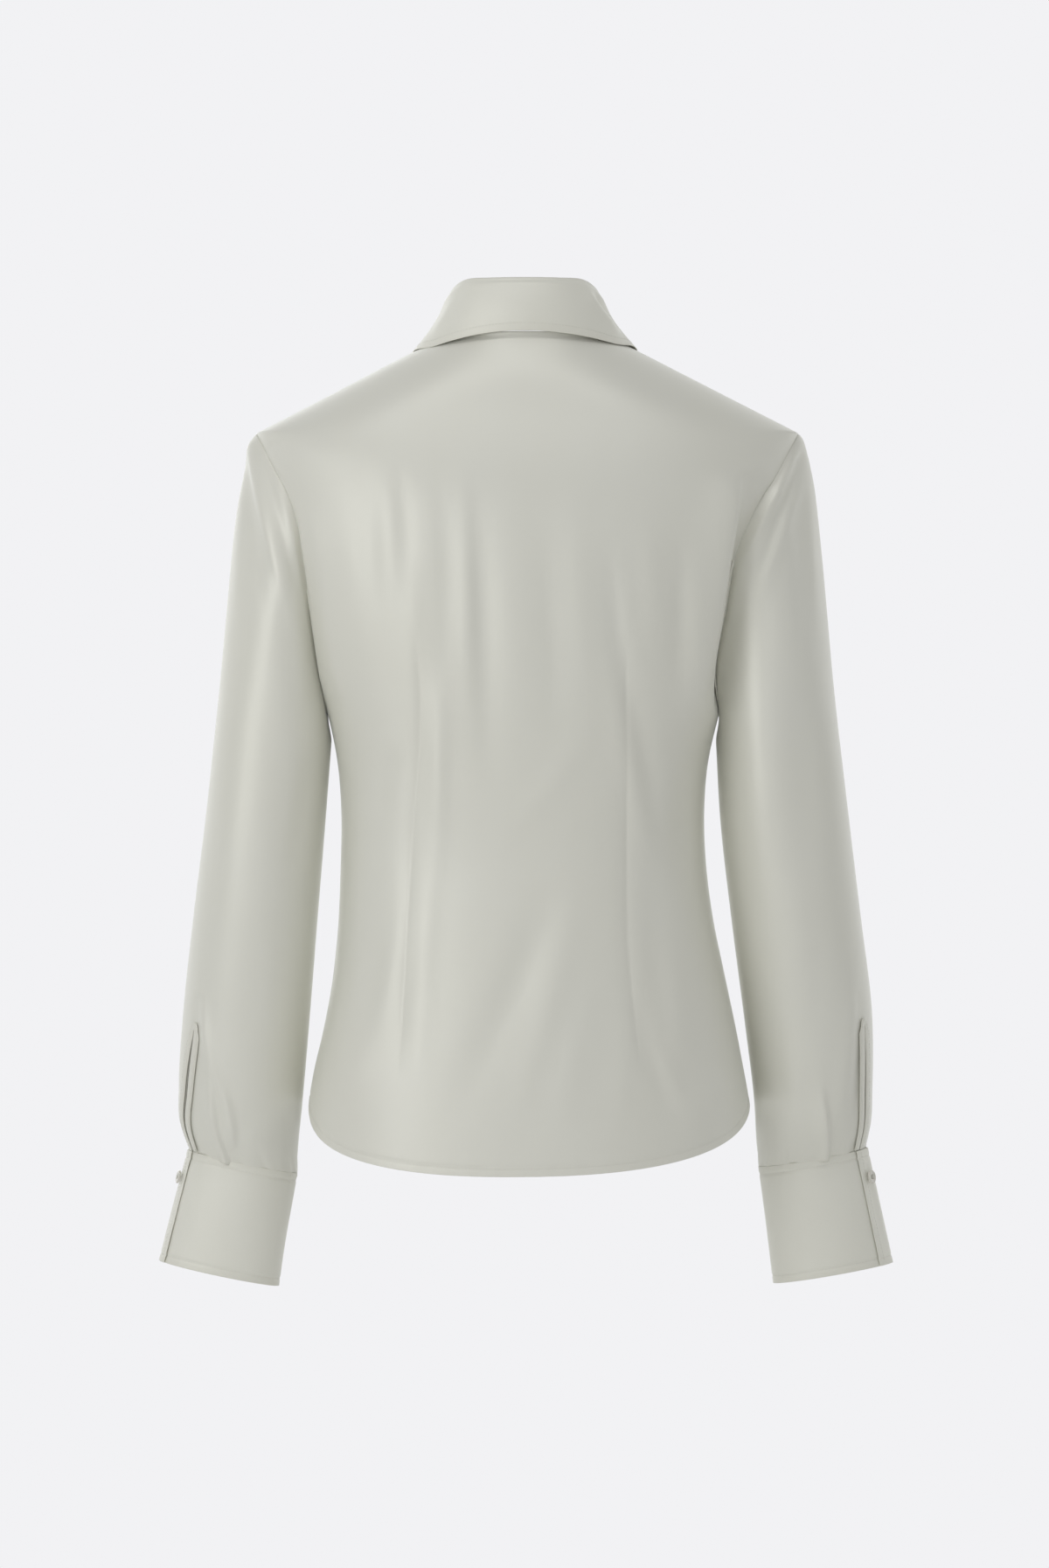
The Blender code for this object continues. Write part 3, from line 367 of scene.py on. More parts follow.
SLEEVE_BACK_CREASES = {
    LEFT: creases(0.45, (
        (-205, -62, -194, -122, -167, -222, 2.6, 3.5, 6, 0.15, 0.45),
        (-207, -80, -201, -140, -186, -222, -1.9, 4.5, 6, 0.25, 0.45),
        (-207, -102, -209, -165, -211, -234, 1.1, 5, 5),
        (-190, -88, -178, -142, -160, -205, -1.5, 4, 5, 0.3, 0.45),
        (-173, -168, -166, -225, -159, -288, 1.0, 6, 6),
        (-212, -190, -214, -330, -223, -460, 1.6, 13, 14),
        (-187, -216, -182, -320, -182, -412, -0.7, 12, 12),
        (-157, -292, -163, -350, -173, -419, -1.0, 7, 8),
        (-195, -411, -200, -480, -202, -549, -0.7, 12, 12),
        (-240, -451, -233, -520, -217, -568, 2.2, 6, 4, 0.45, 0.35),
        (-226, -540, -216, -575, -216, -604, 2.6, 8, 3, 0.45, 0.15),
        (-206, -580, -196, -594, -184, -600, 0.8, 6, 6, 0.35, 0.35),
    )),
    RIGHT: creases(0.45, (
        (204, -66, 188, -108, 156, -175, 2.2, 3.5, 4.5, 0.15, 0.45),
        (206, -80, 190, -126, 163, -198, -1.9, 4, 4.5, 0.2, 0.45),
        (206, -98, 188, -146, 168, -205, 1.8, 4, 5, 0.25, 0.45),
        (208, -92, 210, -158, 216, -236, 1.5, 4, 5, 0.3, 0.45),
        (201, -118, 201, -175, 203, -244, -1.0, 5, 5),
        (160, -185, 171, -310, 180, -450, 2.6, 14, 16),
        (198, -210, 205, -320, 209, -460, -2.2, 15, 12),
        (221, -238, 228, -330, 235, -410, 0.7, 8, 8),
        (189, -354, 196, -440, 205, -532, 0.8, 12, 12),
        (214, -390, 216, -470, 218, -539, -0.7, 9, 9),
        (240, -444, 238, -525, 226, -600, 1.7, 7, 5),
        (248, -488, 246, -548, 240, -600, -1.3, 3, 3),
        (196, -514, 198, -560, 205, -600, 0.7, 8, 8),
    )),
}

SLEEVE_FRONT_CREASES = {
    LEFT: creases(0.35, (
        (-196, -90, -184, -130, -166, -185, 3.9, 8, 10, 0.3, 0.35),
        (-186, -96, -172, -128, -156, -170, -2.9, 7, 7, 0.3, 0.35),
        (-205, -115, -207, -175, -209, -240, 2.4, 7, 8),
        (-190, -210, -182, -280, -172, -350, -2.8, 13, 13),
        (-216, -250, -214, -340, -222, -440, 2.5, 12, 12),
        (-176, -340, -184, -400, -196, -455, 2.9, 10, 11),
        (-200, -440, -204, -510, -208, -590, -2.4, 12, 12, 0.35, 0.25),
        (-230, -480, -224, -540, -218, -600, 2.4, 8, 8, 0.35, 0.25),
    )),
    RIGHT: creases(0.35, (
        (197, -88, 186, -128, 168, -180, -3.4, 8, 8, 0.3, 0.35),
        (202, -96, 192, -140, 174, -195, 3.8, 8, 10, 0.3, 0.35),
        (208, -120, 210, -190, 213, -260, -2.1, 8, 8),
        (186, -220, 184, -290, 178, -355, 2.8, 13, 12),
        (214, -240, 220, -330, 230, -420, 2.5, 12, 12),
        (180, -350, 190, -410, 204, -465, -2.8, 11, 11),
        (198, -450, 204, -520, 210, -588, 2.4, 12, 12, 0.35, 0.25),
        (232, -470, 230, -530, 222, -596, -2.1, 8, 9, 0.35, 0.25),
    )),
}

# On the collar, turn (degrees from the centre back) and millimetres up from the lower edge stand for x and z
COLLAR_CREASES = creases(0.35, (
    (38, 36, 58, 24, 76, 10, 2.7, 8, 6, 0.3, 0.35),
    (50, 38, 66, 27, 84, 14, -2.4, 6, 7, 0.3, 0.35),
    (-46, 34, -60, 22, -70, 8, 1.0, 8, 8),
))
CREASE_STEPS = 48
CREASE_REACH = 2.6        # a crease is felt this many widths away

# ---- fineness and finish

BACK_HALF_COLUMNS = 66
FRONT_HALF_COLUMNS = 62
EDGE_STRIP_COLUMNS = 9
EDGE_STRIP_STEP = 0.0015
UPPER_ROWS = 46
LAP_COLUMNS = 6
ROW_SPREAD = (2.0, 1.7, 1.15)     # how late rows settle at the armhole, the neck's corner and the centre
EASING_STEPS = 70
EASED_ROWS, EASED_COLUMNS, EASED_HEIGHT = 12, 6, 0.040
LOWER_ROW_STEP = 0.0032
HEM_STRIP = 0.0096
HEM_ROW_STEP = 0.0012
SLEEVE_COLUMNS = 176
CAP_ROWS = 62
TUBE_ROW_STEP = 0.0031
SLIT_ROW_STEP = 0.7 * TUBE_ROW_STEP
FALL_COLUMNS = 150
FALL_ROWS = 34
STAND_COLUMNS = 120
STAND_ROWS = 14
CUFF_COLUMNS = 130
CUFF_ROWS = 22
CUFF_STRIP, CUFF_STRIP_STEP = 0.0095, 0.0009
BINDING_ROWS = 5
BINDING_STEPS = 34
BINDING_ARC = 10

SEAM_DROP = 0.0011         # a seam allowance lies this far under the cloth
ARMHOLE_DROP = 0.0030      # and this far at the armholes, where the sleeve's own allowance lies between
SLEEVE_EDGE_DROP = 0.00085
FOLD_DEPTH = 0.0014        # behind the arm the sleeve starts this much deeper, under the back's fold
FOLD_WIDTH = 0.0055
FOLD_TOP, FOLD_END, FOLD_FADE = -0.095, -0.285, 0.03
FOLD_FORWARD = 0.040
SLEEVE_UNDER = (0.0050, 0.0025, 0.0008)     # how far inside the seam its allowance's rows lie
SEAM_ROLL = 0.10           # how far a turned edge rolls out, as a share of the drop
EDGE_SUPPORT = 0.0003
STITCH_GROOVE = 0.0005    # how deep a line of stitches draws in the cloth
HEM_GROOVE_WIDTH, CUFF_GROOVE_WIDTH = 0.0011, 0.0010
HEM_PUCKER_LENGTH, HEM_PUCKER_REACH, EDGE_PUCKER_REACH = 0.011, 0.006, 0.004
CUFF_GATHER_DEPTH, CUFF_GATHER_LENGTH, CUFF_GATHER_REACH = 0.0005, 0.017, 0.012
EDGE_EASE = 0.006          # creases start this far inside the edges of the panels and the fall
CAP_EASE = 0.010           # and this far below the armhole
CUFF_EASE_START, CUFF_EASE = 0.004, 0.02
SLIT_EASE, SLIT_EASE_RISE = 0.012, 0.03
SLEEVE_SIDE_BLEND = 0.050  # over this width the creases behind give way to those in front
FACING_WIDTH = 0.026
HEM_TURN_IN = 0.001
ARMHOLE_DROP_EASE = 0.02
RIM_BULGE = 0.35

# What each piece was cut to: width, length and area of the flat cloth that shows
Sheet = namedtuple("Sheet", "width length area held")


# ---- settings

def length_setting(name, description, default, low, high, precision=4):
    return bpy.props.FloatProperty(name=name, description=description, default=default, min=low, max=high,
                                   precision=precision, unit="LENGTH", subtype="DISTANCE")


def share_setting(name, description, default, low, high):
    return bpy.props.FloatProperty(name=name, description=description, default=default, min=low, max=high,
                                   subtype="FACTOR")


def power_setting(name, description, default):
    return bpy.props.FloatProperty(name=name, description=f"{description}, in watts", default=default,
                                   min=0.0, max=1000.0)


def colour_setting(name, description, default):
    return bpy.props.FloatVectorProperty(name=name, description=description, default=default, min=0.0,
                                         max=1.0, size=3, subtype="COLOR")


class BlouseSettings(bpy.types.PropertyGroup):
    cloth_wall: length_setting("Cloth wall", "Thickness of one layer of satin", 0.0005, 0.0002, 0.0010)
    doubled_wall: length_setting(
        "Doubled wall", "Thickness of the interlined collar and cuffs", 0.0006, 0.0004, 0.0012)
    seam_allowance: length_setting(
        "Seam allowance", "Width of the cloth turned in at each seam", 0.007, 0.003, 0.012)
    hem_width: length_setting("Hem width", "Width of the turned and stitched hem", 0.0055, 0.003, 0.012)
    edge_stitching: length_setting(
        "Edge stitching", "Distance of the topstitching from finished edges", 0.0055, 0.001, 0.012)
    stitch_length: length_setting("Stitch length", "Length of one visible stitch", 0.0019, 0.001, 0.004)
    stitch_gap: length_setting("Stitch gap", "Gap between two stitches", 0.0007, 0.0003, 0.002)
    thread_width: length_setting(
        "Thread width", "Thickness of the sewing thread", 0.00026, 0.0001, 0.0006, 5)
    crease_share: share_setting(
        "Crease share", "How deep the creases are, 1 for as they are listed", 1.0, 0.0, 3.0)
    pucker: length_setting(
        "Seam pucker", "Height of the small waves along stitched edges", 0.00022, 0.0, 0.001, 5)
    satin_colour: colour_setting("Satin", "Colour of the satin", (0.80, 0.80, 0.74))
    satin_shade: colour_setting(
        "Satin shade", "Warmer colour of the satin in its threads' shade", (0.755, 0.745, 0.655))
    satin_roughness: share_setting("Satin roughness", "How wide the satin's sheen spreads", 0.46, 0.1, 0.9)
    thread_colour: colour_setting("Thread", "Colour of the sewing thread", (0.82, 0.815, 0.75))
    pearl_colour: colour_setting("Pearl", "Colour of the pearl buttons", (0.74, 0.72, 0.66))


class StudioSettings(bpy.types.PropertyGroup):
    camera_distance: length_setting(
        "Camera distance", "Distance of the camera behind the blouse", 5.0, 1.0, 20.0)
    camera_height: length_setting(
        "Camera height", "Height of the camera from the neck", -0.330, -2.0, 2.0)
    camera_lens: bpy.props.FloatProperty(
        name="Lens", description="Focal length of the camera in millimetres", default=155.6, min=20.0,
        max=400.0)
    key_power: power_setting("Key light", "Power of the large light at the upper left", 6.0)
    top_power: power_setting("Top light", "Power of the overhead light", 30.0)
    fill_power: power_setting("Fill light", "Power of the weak light behind the camera", 8.0)
    front_power: power_setting("Front light", "Power of the light on the far side", 12.0)
    ambient: share_setting("Ambient", "Brightness of the surroundings", 0.48, 0.0, 2.0)
    backdrop_colour: colour_setting("Backdrop", "Colour seen behind the blouse", (0.887, 0.887, 0.905))
    floor_colour: colour_setting("Floor", "Colour of the studio floor", (0.94, 0.94, 0.93))


# ---- curves

def hermite(start, end, start_pull, end_pull, t):
    """A point of the smooth curve between two points, given its pull at each."""
    rest = 1 - t
    return (start * (1 + 2 * t) * rest ** 2 + start_pull * t * rest ** 2
            + end * t ** 2 * (3 - 2 * t) - end_pull * t ** 2 * rest)


def smooth_between(keys, values, slopes, key):
    """The smooth curve through values that stand at keys, with its slope at each."""
    low = np.clip(np.searchsorted(keys, key, side="right") - 1, 0, len(keys) - 2)
    span = keys[low + 1] - keys[low]
    return hermite(values[low], values[low + 1], slopes[low] * span, slopes[low + 1] * span,
                   (key - keys[low]) / span)


def table_curve(rows, column):
    """A smooth function through one column of a table, over the table's first column."""
    ordered = sorted(rows)
    keys = np.array([row[0] for row in ordered], float)
    values = np.array([getattr(row, column) for row in ordered], float)
    slopes = np.gradient(values, keys)
    return lambda key: smooth_between(keys, values, slopes, np.clip(key, keys[0], keys[-1]))


def smooth_step(value):
    """0 below 0, 1 above 1 and smooth between."""
    value = np.clip(value, 0.0, 1.0)
    return value * value * (3 - 2 * value)


def matched(*values):
    """The values as arrays of one shape."""
    return np.broadcast_arrays(*(np.asarray(value, float) for value in values))


def vectors(*parts):
    """Points or directions from their parts along each axis."""
    return np.stack(np.broadcast_arrays(*parts), axis=-1)


def unit(ways):
    """Directions of length 1 along the given ones."""
    return ways / np.maximum(np.linalg.norm(ways, axis=-1, keepdims=True), 1e-12)


def bell(gap, width):
    """1 where there is no gap, falling away smoothly over the width."""
    return np.exp(-(gap / width) ** 2)


def lengths_along(line):
    """How long a line of points is up to each of them."""
    return np.concatenate([[0], np.cumsum(np.linalg.norm(np.diff(line, axis=0), axis=1))])


def points_at(line, lengths, wanted):
    """Points of a line, or directions along it, at the wanted lengths."""
    return np.stack([np.interp(wanted, lengths, line[:, axis]) for axis in range(3)], axis=-1)


def uneven(place, start):
    """An uneven wave, about -1 to 1, whose main wave is one turn of place long."""
    return (np.sin(place + start) + 0.6 * np.sin(1.73 * place + 2.1 * start)
            + 0.8 * np.sin(0.57 * place + 3.7 * start)) / 1.8


def smoothed_rows(grid, count):
    """The grid with its rows replaced by more of them, on smooth curves down its columns."""
    length = np.linalg.norm(np.diff(grid, axis=0), axis=-1).mean(axis=1)
    keys = np.concatenate([[0.0], np.cumsum(length)])
    slopes = np.gradient(grid, keys, axis=0)
    return np.array([smooth_between(keys, grid, slopes, key) for key in np.linspace(0, keys[-1], count)])


def crease_lift(listed, across, height):
    """How far the listed creases lift points, from their place across and their height, in metres."""
    across, height = matched(across, height)
    points = vectors(across, height).reshape(-1, 2) / MM
    lift = np.zeros(len(points))
    t = np.linspace(0, 1, CREASE_STEPS)[:, None]
    for crease in listed:
        start, middle, end = (np.array(spot, float) for spot in
                              ((crease.x0, crease.z0), (crease.x1, crease.z1), (crease.x2, crease.z2)))
        path = start * (1 - t) * (1 - 2 * t) + middle * 4 * t * (1 - t) + end * t * (2 * t - 1)
        way = start * (4 * t - 3) + middle * (4 - 8 * t) + end * (4 * t - 1)
        reach = CREASE_REACH * max(crease.left, crease.right)
        near = np.flatnonzero(np.all((points > path.min(axis=0) - reach)
                                     & (points < path.max(axis=0) + reach), axis=1))
        if not len(near):
            continue
        gaps = points[near][:, None] - path[None]
        nearest = np.argmin(np.sum(gaps ** 2, axis=-1), axis=1)
        gap = gaps[np.arange(len(near)), nearest]
        speed = np.linalg.norm(way[nearest], axis=-1)
        sideways = (way[nearest, 0] * gap[:, 1] - way[nearest, 1] * gap[:, 0]) / speed
        along = t[nearest, 0] + np.sum(way[nearest] * gap, axis=-1) / speed ** 2
        width = np.where(sideways > 0, crease.right, crease.left)
        fade = smooth_step(along / crease.head) * smooth_step((1 - along) / crease.tail)
        lift[near] += crease.depth * MM * fade * bell(sideways, width)
    return lift.reshape(across.shape)


# ---- grids of cloth

EDGES = ("top", "bottom", "left", "right")


def face_edge(grid, edge):
    """The grid turned so that the named edge is its first row."""
    if edge == "top":
        return grid
    if edge == "bottom":
        return grid[::-1]
    if edge == "left":
        return grid.swapaxes(0, 1)
    return grid.swapaxes(0, 1)[::-1]


def face_back(grid, edge):
    """Undoes face_edge."""
    if edge == "right":
        return grid[::-1].swapaxes(0, 1)
    return face_edge(grid, edge)


def distance_from(grid, edge):
    """How far each point lies from the named edge, along the cloth."""
    rows = face_edge(grid, edge)
    steps = np.linalg.norm(np.diff(rows, axis=0), axis=-1)
    away = np.concatenate([np.zeros((1, steps.shape[1])), np.cumsum(steps, axis=0)])
    return face_back(away, edge)


def distance_from_edges(grid, edges):
    """How far each point lies from the nearest of the named edges."""
    return np.minimum.reduce([distance_from(grid, edge) for edge in edges])


def grid_outward(grid, flip, closed_rows=0):
    """The direction square to the cloth's outer side at each point."""
    down = np.gradient(grid, axis=0)
    along = np.gradient(grid, axis=1)
    if closed_rows:
        around = grid[:closed_rows, 1] - grid[:closed_rows, -2]
        along[:closed_rows, 0] = around
        along[:closed_rows, -1] = around
    outward = unit(np.cross(down, along))
    return -outward if flip else outward


def turned_under(grid, outward, edge, width, drop=SEAM_DROP):
    """The grid with the named edge rolled over and lying against the inside, and its outward directions."""
    rows, out = face_edge(grid, edge), face_edge(outward, edge)
    length = np.cumsum(np.linalg.norm(np.diff(rows, axis=0), axis=-1).mean(axis=1))
    inner = min(int(np.searchsorted(length, width)) + 1, len(rows) - 1)
    drop = np.broadcast_to(drop, rows.shape[1:2])[:, None]
    steps = [inner, max(inner // 2, 1), 0]
    under = [rows[step] - out[step] * drop for step in steps]
    past_edge = unit(rows[0] - rows[1])
    under.append(rows[0] + past_edge * drop * SEAM_ROLL - out[0] * drop / 2)
    under += [rows[0], rows[0] - past_edge * EDGE_SUPPORT]
    sides = [out[step] for step in steps] + [out[0]] * 3
    grid = face_back(np.concatenate([np.array(under), rows[1:]]), edge)
    outward = face_back(np.concatenate([np.array(sides), out[1:]]), edge)
    return grid, outward


def lines_inside(grid, flip, edges, inset, skipped=0):
    """Lines of stitching this far inside the named edges, without the first rows of the grid."""
    outward = grid_outward(grid, flip)
    return [line_along(grid[skipped:], outward[skipped:], edge, inset) for edge in edges]


def supported(grid, edges):
    """The grid with a row close inside each named edge, which keeps its roundness to the edge."""
    for edge in edges:
        rows = face_edge(grid, edge)
        near = rows[0] - unit(rows[0] - rows[1]) * EDGE_SUPPORT
        grid = face_back(np.concatenate([rows[:1], near[None], rows[1:]]), edge)
    return grid


def line_along(grid, outward, edge, inset):
    """Points and outward directions of the line that runs this far inside an edge."""
    rows, out = face_edge(grid, edge), face_edge(outward, edge)
    away = face_edge(distance_from(grid, edge), edge)
    column = np.arange(rows.shape[1])
    low = np.clip((away < inset).sum(axis=0) - 1, 0, len(rows) - 2)
    span = np.maximum(away[low + 1, column] - away[low, column], 1e-9)
    share = np.clip((inset - away[low, column]) / span, 0, 1)[:, None]
    points = rows[low, column] * (1 - share) + rows[low + 1, column] * share
    return points, unit(out[low, column] * (1 - share) + out[low + 1, column] * share)


# ---- making objects

def placed(obj):
    """The object, put in the scene."""
    bpy.context.scene.collection.objects.link(obj)
    return obj


def mesh_object(name, points, faces):
    """A smooth-shaded mesh in the scene."""
    mesh = bpy.data.meshes.new(name)
    mesh.from_pydata(np.asarray(points).tolist(), [], faces)
    mesh.shade_smooth()
    return placed(bpy.data.objects.new(name, mesh))


def shell_faces(rows, columns, flip, closed_rows):
    """Faces over a grid, its inner side and its rounded rim, as grid places and layers: 0 for the outer
    side, 1 for the rim and 2 for the inner side."""
    place = np.arange(rows * columns).reshape(rows, columns)
    a, b = place[:-1, :-1], place[1:, :-1]
    c, d = place[1:, 1:], place[:-1, 1:]
    outer = np.stack([a, b, c, d], axis=-1).reshape(-1, 4)
    layers = np.zeros_like(outer)
    found = [(outer, layers), (outer[:, ::-1], layers + 2)]
    open_from = max(closed_rows - 1, 0)
    rims = [(b[open_from:, 0], a[open_from:, 0]), (c[-1], b[-1]),
            (d[open_from:, -1], c[open_from:, -1]), (a[0], d[0])]
    for first, second in rims:
        face = np.stack([first, second, second, first], axis=-1)
        for upper, lower in ((0, 1), (1, 2)):
            found.append((face, np.broadcast_to([upper, upper, lower, lower], face.shape)))
    faces = np.concatenate([item[0] for item in found])
    layers = np.concatenate([item[1] for item in found])
    if flip:
        faces, layers = faces[:, ::-1], layers[:, ::-1]
    return faces, layers


MAP_SPAN, MAP_START, MAP_INSIDE = (0.47, 0.96), (0.015, 0.02), 0.5     # the inside lies beside the outside


def shell_piece(name, grid, wall, flip, seams, closed_rows=0):
    """A grid of points as a thin shell with a rounded rim, with its lengths along and across the cloth."""
    rows, columns = grid.shape[:2]
    inward = -grid_outward(grid, flip, closed_rows)
    rim_way = np.zeros_like(grid)
    for edge in EDGES:
        turned, way = face_edge(grid, edge), face_edge(rim_way, edge)
        way[0] += unit(turned[0] - turned[1])
    inner = grid + inward * wall
    rim = grid + inward * wall / 2 + unit(rim_way) * wall * RIM_BULGE
    points = np.concatenate([grid.reshape(-1, 3), rim.reshape(-1, 3), inner.reshape(-1, 3)])
    corner, layer = shell_faces(rows, columns, flip, closed_rows)
    index = np.arange(rows * columns).reshape(rows, columns)
    if closed_rows:
        index[:closed_rows, -1] = index[:closed_rows, 0]
    vertex = index.reshape(-1)[corner] + layer * rows * columns
    used, vertex = np.unique(vertex, return_inverse=True)
    obj = mesh_object(name, points[used], vertex.reshape(corner.shape).tolist())
    across = distance_from(grid, "left")
    across = across - across[:, columns // 2][:, None]
    down = distance_from(grid, "top")
    seam = distance_from_edges(grid, seams)
    lengths = np.stack([across, down, seam], axis=-1).reshape(-1, 3)
    spread = lengths[:, :2] - lengths[:, :2].min(axis=0)
    spread = spread / spread.max(axis=0)
    flat = spread[corner.reshape(-1)] * MAP_SPAN + MAP_START
    flat[:, 0] += np.where(layer.reshape(-1) == 2, MAP_INSIDE, 0.0)
    mesh = obj.data
    mesh.uv_layers.new(name="UVMap").data.foreach_set("uv", flat.astype(np.float32).reshape(-1))
    cloth = mesh.attributes.new("cloth", "FLOAT_VECTOR", "CORNER")
    cloth.data.foreach_set("vector", lengths[corner.reshape(-1)].astype(np.float32).reshape(-1))
    return obj


def finish_cloth(obj, node, material):
    """Gives a cloth piece its material and its place in the frame, and declares its cut."""
    obj.data.materials.append(material)
    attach(obj, "root")
    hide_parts(node)


STITCH_RINGS = ((-0.50, 0.30, -0.35), (-0.38, 0.85, 0.25), (0.0, 1.0, 0.5), (0.38, 0.85, 0.25),
                (0.50, 0.30, -0.35))       # along, thickness and height of a stitch's rings
STITCH_SIDES = 5
STITCH_START = 0.9         # the first stitch's middle, in stitches from the end of its line
STITCH_LIFT = 0.4          # how far a stitch stands above the cloth, as a share of its radius


def finish_thread(obj, settings):
    """Gives a piece of sewing thread its material."""
    obj.data.materials.append(thread_material(settings))
    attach(obj, "root")


def stitches(name, lines, settings):
    """Every stitch of several seams as one mesh. Each seam is a line of points with outward directions."""
    pitch = settings.stitch_length + settings.stitch_gap
    centres, outs, ways = [], [], []
    for points, outward in lines:
        length = lengths_along(points)
        count = int((length[-1] - pitch) / pitch)
        if count < 2:
            raise ValueError(f"{name}: a line of stitches is too short")
        middle = pitch * (np.arange(count) + STITCH_START)
        ends = [points_at(points, length, middle + step) for step in (-pitch / 3, pitch / 3)]
        centres.append((ends[0] + ends[1]) / 2)
        ways.append(unit(ends[1] - ends[0]))
        outs.append(unit(points_at(outward, length, middle)))
    centre, way, out = (np.concatenate(parts)[:, None, None] for parts in (centres, ways, outs))
    aside = unit(np.cross(way, out))
    along, thick, high = (np.array(part)[None, :, None, None] for part in zip(*STITCH_RINGS))
    turn = (np.arange(STITCH_SIDES) / STITCH_SIDES * 2 * math.pi)[None, None, :, None]
    radius = settings.thread_width / 2
    points = (centre + way * along * settings.stitch_length + aside * np.cos(turn) * thick * radius
              + out * (np.sin(turn) * thick + high + STITCH_LIFT) * radius)
    rings = len(STITCH_RINGS)
    one = np.arange(rings * STITCH_SIDES).reshape(rings, STITCH_SIDES)
    after = np.roll(one, -1, axis=1)
    faces = np.stack([one[:-1], after[:-1], after[1:], one[1:]], axis=-1).reshape(-1, 4)
    starts = (np.arange(len(centre)) * rings * STITCH_SIDES)[:, None, None]
    sides = (faces[None] + starts).reshape(-1, 4).tolist()
    caps = np.concatenate([one[:1, ::-1][None] + starts, one[-1:][None] + starts], axis=1)
    obj = mesh_object(name, points.reshape(-1, 3), sides + caps.reshape(-1, STITCH_SIDES).tolist())
    finish_thread(obj, settings)
    return obj


def sewn_piece(node, grid, flip, lines, material, settings, kept=(), seams=("top", "bottom")):
    """A doubled piece with its lines of stitches, and its roundness kept at the named edges."""
    sewn = stitches(f"{node}_stitches", lines, settings)
    piece = shell_piece(f"{node}_cloth", supported(grid, kept), settings.doubled_wall, flip, seams)
    finish_cloth(piece, node, material)


# ---- body

SIDE_WIDTH = {LEFT: table_curve(SIDES, "left"), RIGHT: table_curve(SIDES, "right")}
DEPTH = {BACK: table_curve(DEPTHS, "back"), FRONT: table_curve(DEPTHS, "front")}
SQUARENESS = table_curve(DEPTHS, "squareness")
ARMHOLE_SHARE = {BACK: table_curve(ARMHOLE, "back"), FRONT: table_curve(ARMHOLE, "front")}
DART_REACH = {LEFT: table_curve(DARTS, "left"), RIGHT: table_curve(DARTS, "right")}
TUCK = {side: {name: table_curve(TUCKS[side], name) for name in ("forward", "inward")}
        for side in (LEFT, RIGHT)}
SETTLED_EDGE = {BACK: 0.1620, FRONT: 0.1466}
CORNER_PLACE = {BACK: 0.648, FRONT: 0.673}     # where the neckline starts, from the armhole to the centre


def half_width(side, height):
    """Half the oval's width at a height, on the left or the right."""
    on_shoulder = np.interp(height, [TIP_HEIGHT, NECK_HEIGHT], [TIP_REACH[side], NECK_REACH[side]])
    return np.where(height > TIP_HEIGHT, on_shoulder, SIDE_WIDTH[side](np.minimum(height, TIP_HEIGHT)))


def body_point(half, across, height):
    """Points of the body's outside. across is -1 at the left seam, 0 at the centre, 1 at the right seam."""
    across = np.asarray(across, float)
    height = np.asarray(height, float)
    width = np.where(across < 0, half_width(LEFT, height), half_width(RIGHT, height))
    power = 2 / SQUARENESS(height)
    turn = np.minimum(np.abs(across), 1) * math.pi / 2
    reach = np.sign(across) * width * np.sin(turn) ** power
    away = DEPTH[half](height) * np.maximum(np.cos(turn), 0) ** power + SEAM_GAP
    return vectors(reach, half * away, height)


def across_at(reach, height):
    """The place across the body whose reach to the side is given."""
    width = np.where(reach < 0, half_width(LEFT, height), half_width(RIGHT, height))
    share = np.clip(np.abs(reach) / width, 0, 1)
    return np.sign(reach) * np.arcsin(share ** (SQUARENESS(height) / 2)) * 2 / math.pi


def body_outward(half, across, height):
    """The direction square to the body's outside."""
    step = 0.002
    inner = np.clip(across, -1 + 2 * step, 1 - 2 * step)
    along = body_point(half, inner + step, height) - body_point(half, inner - step, height)
    up = body_point(half, inner, height + step) - body_point(half, inner, height - step)
    return unit(np.cross(along, up)) * -half


def hem_height(half, side, across):
    """The curved hem: lowest at the centre, highest at the side seam."""
    lowest = BACK_HEM if half == BACK else FRONT_HEM
    share = np.minimum(np.abs(across), 1)
    lean = HEM_LEAN * side * share if half == BACK else 0.0
    curve = HEM_SLOW * share ** 2 + HEM_STEEP * share ** HEM_STEEPNESS
    return lowest + (SIDE_HEM - lowest) * curve + lean * (1 - share ** (HEM_STEEPNESS + 2))


def panel_places(half):
    """Columns of a half panel from its outer edge (0) to the centre (1), close together at the edge."""
    count = BACK_HALF_COLUMNS if half == BACK else FRONT_HALF_COLUMNS
    strip = np.arange(EDGE_STRIP_COLUMNS) * EDGE_STRIP_STEP / SETTLED_EDGE[half]
    return np.concatenate([strip, np.linspace(strip[-1], 1, count - EDGE_STRIP_COLUMNS + 2)[1:]])


def top_edge(half, side, place):
    """Reach and height of a panel's top edge: in along the shoulder seam, then down the neckline."""
    corner = CORNER_PLACE[half]
    along = np.clip(place / corner, 0, 1)
    turn = np.clip((place - corner) / (1 - corner), 0, 1) * math.pi / 2
    shoulder = TIP_REACH[side] + (NECK_REACH[side] - TIP_REACH[side]) * along
    neck = NECK_REACH[side] * np.abs(np.cos(turn)) ** NECK_BEND[half]
    reach = np.where(place < corner, shoulder, neck)
    height = np.where(place < corner, TIP_HEIGHT + (NECK_HEIGHT - TIP_HEIGHT) * along,
                      NECK_HEIGHT - NECK_DROP[half] * np.sin(turn) ** 2)
    return np.where(place >= 1, 0.0, reach), height


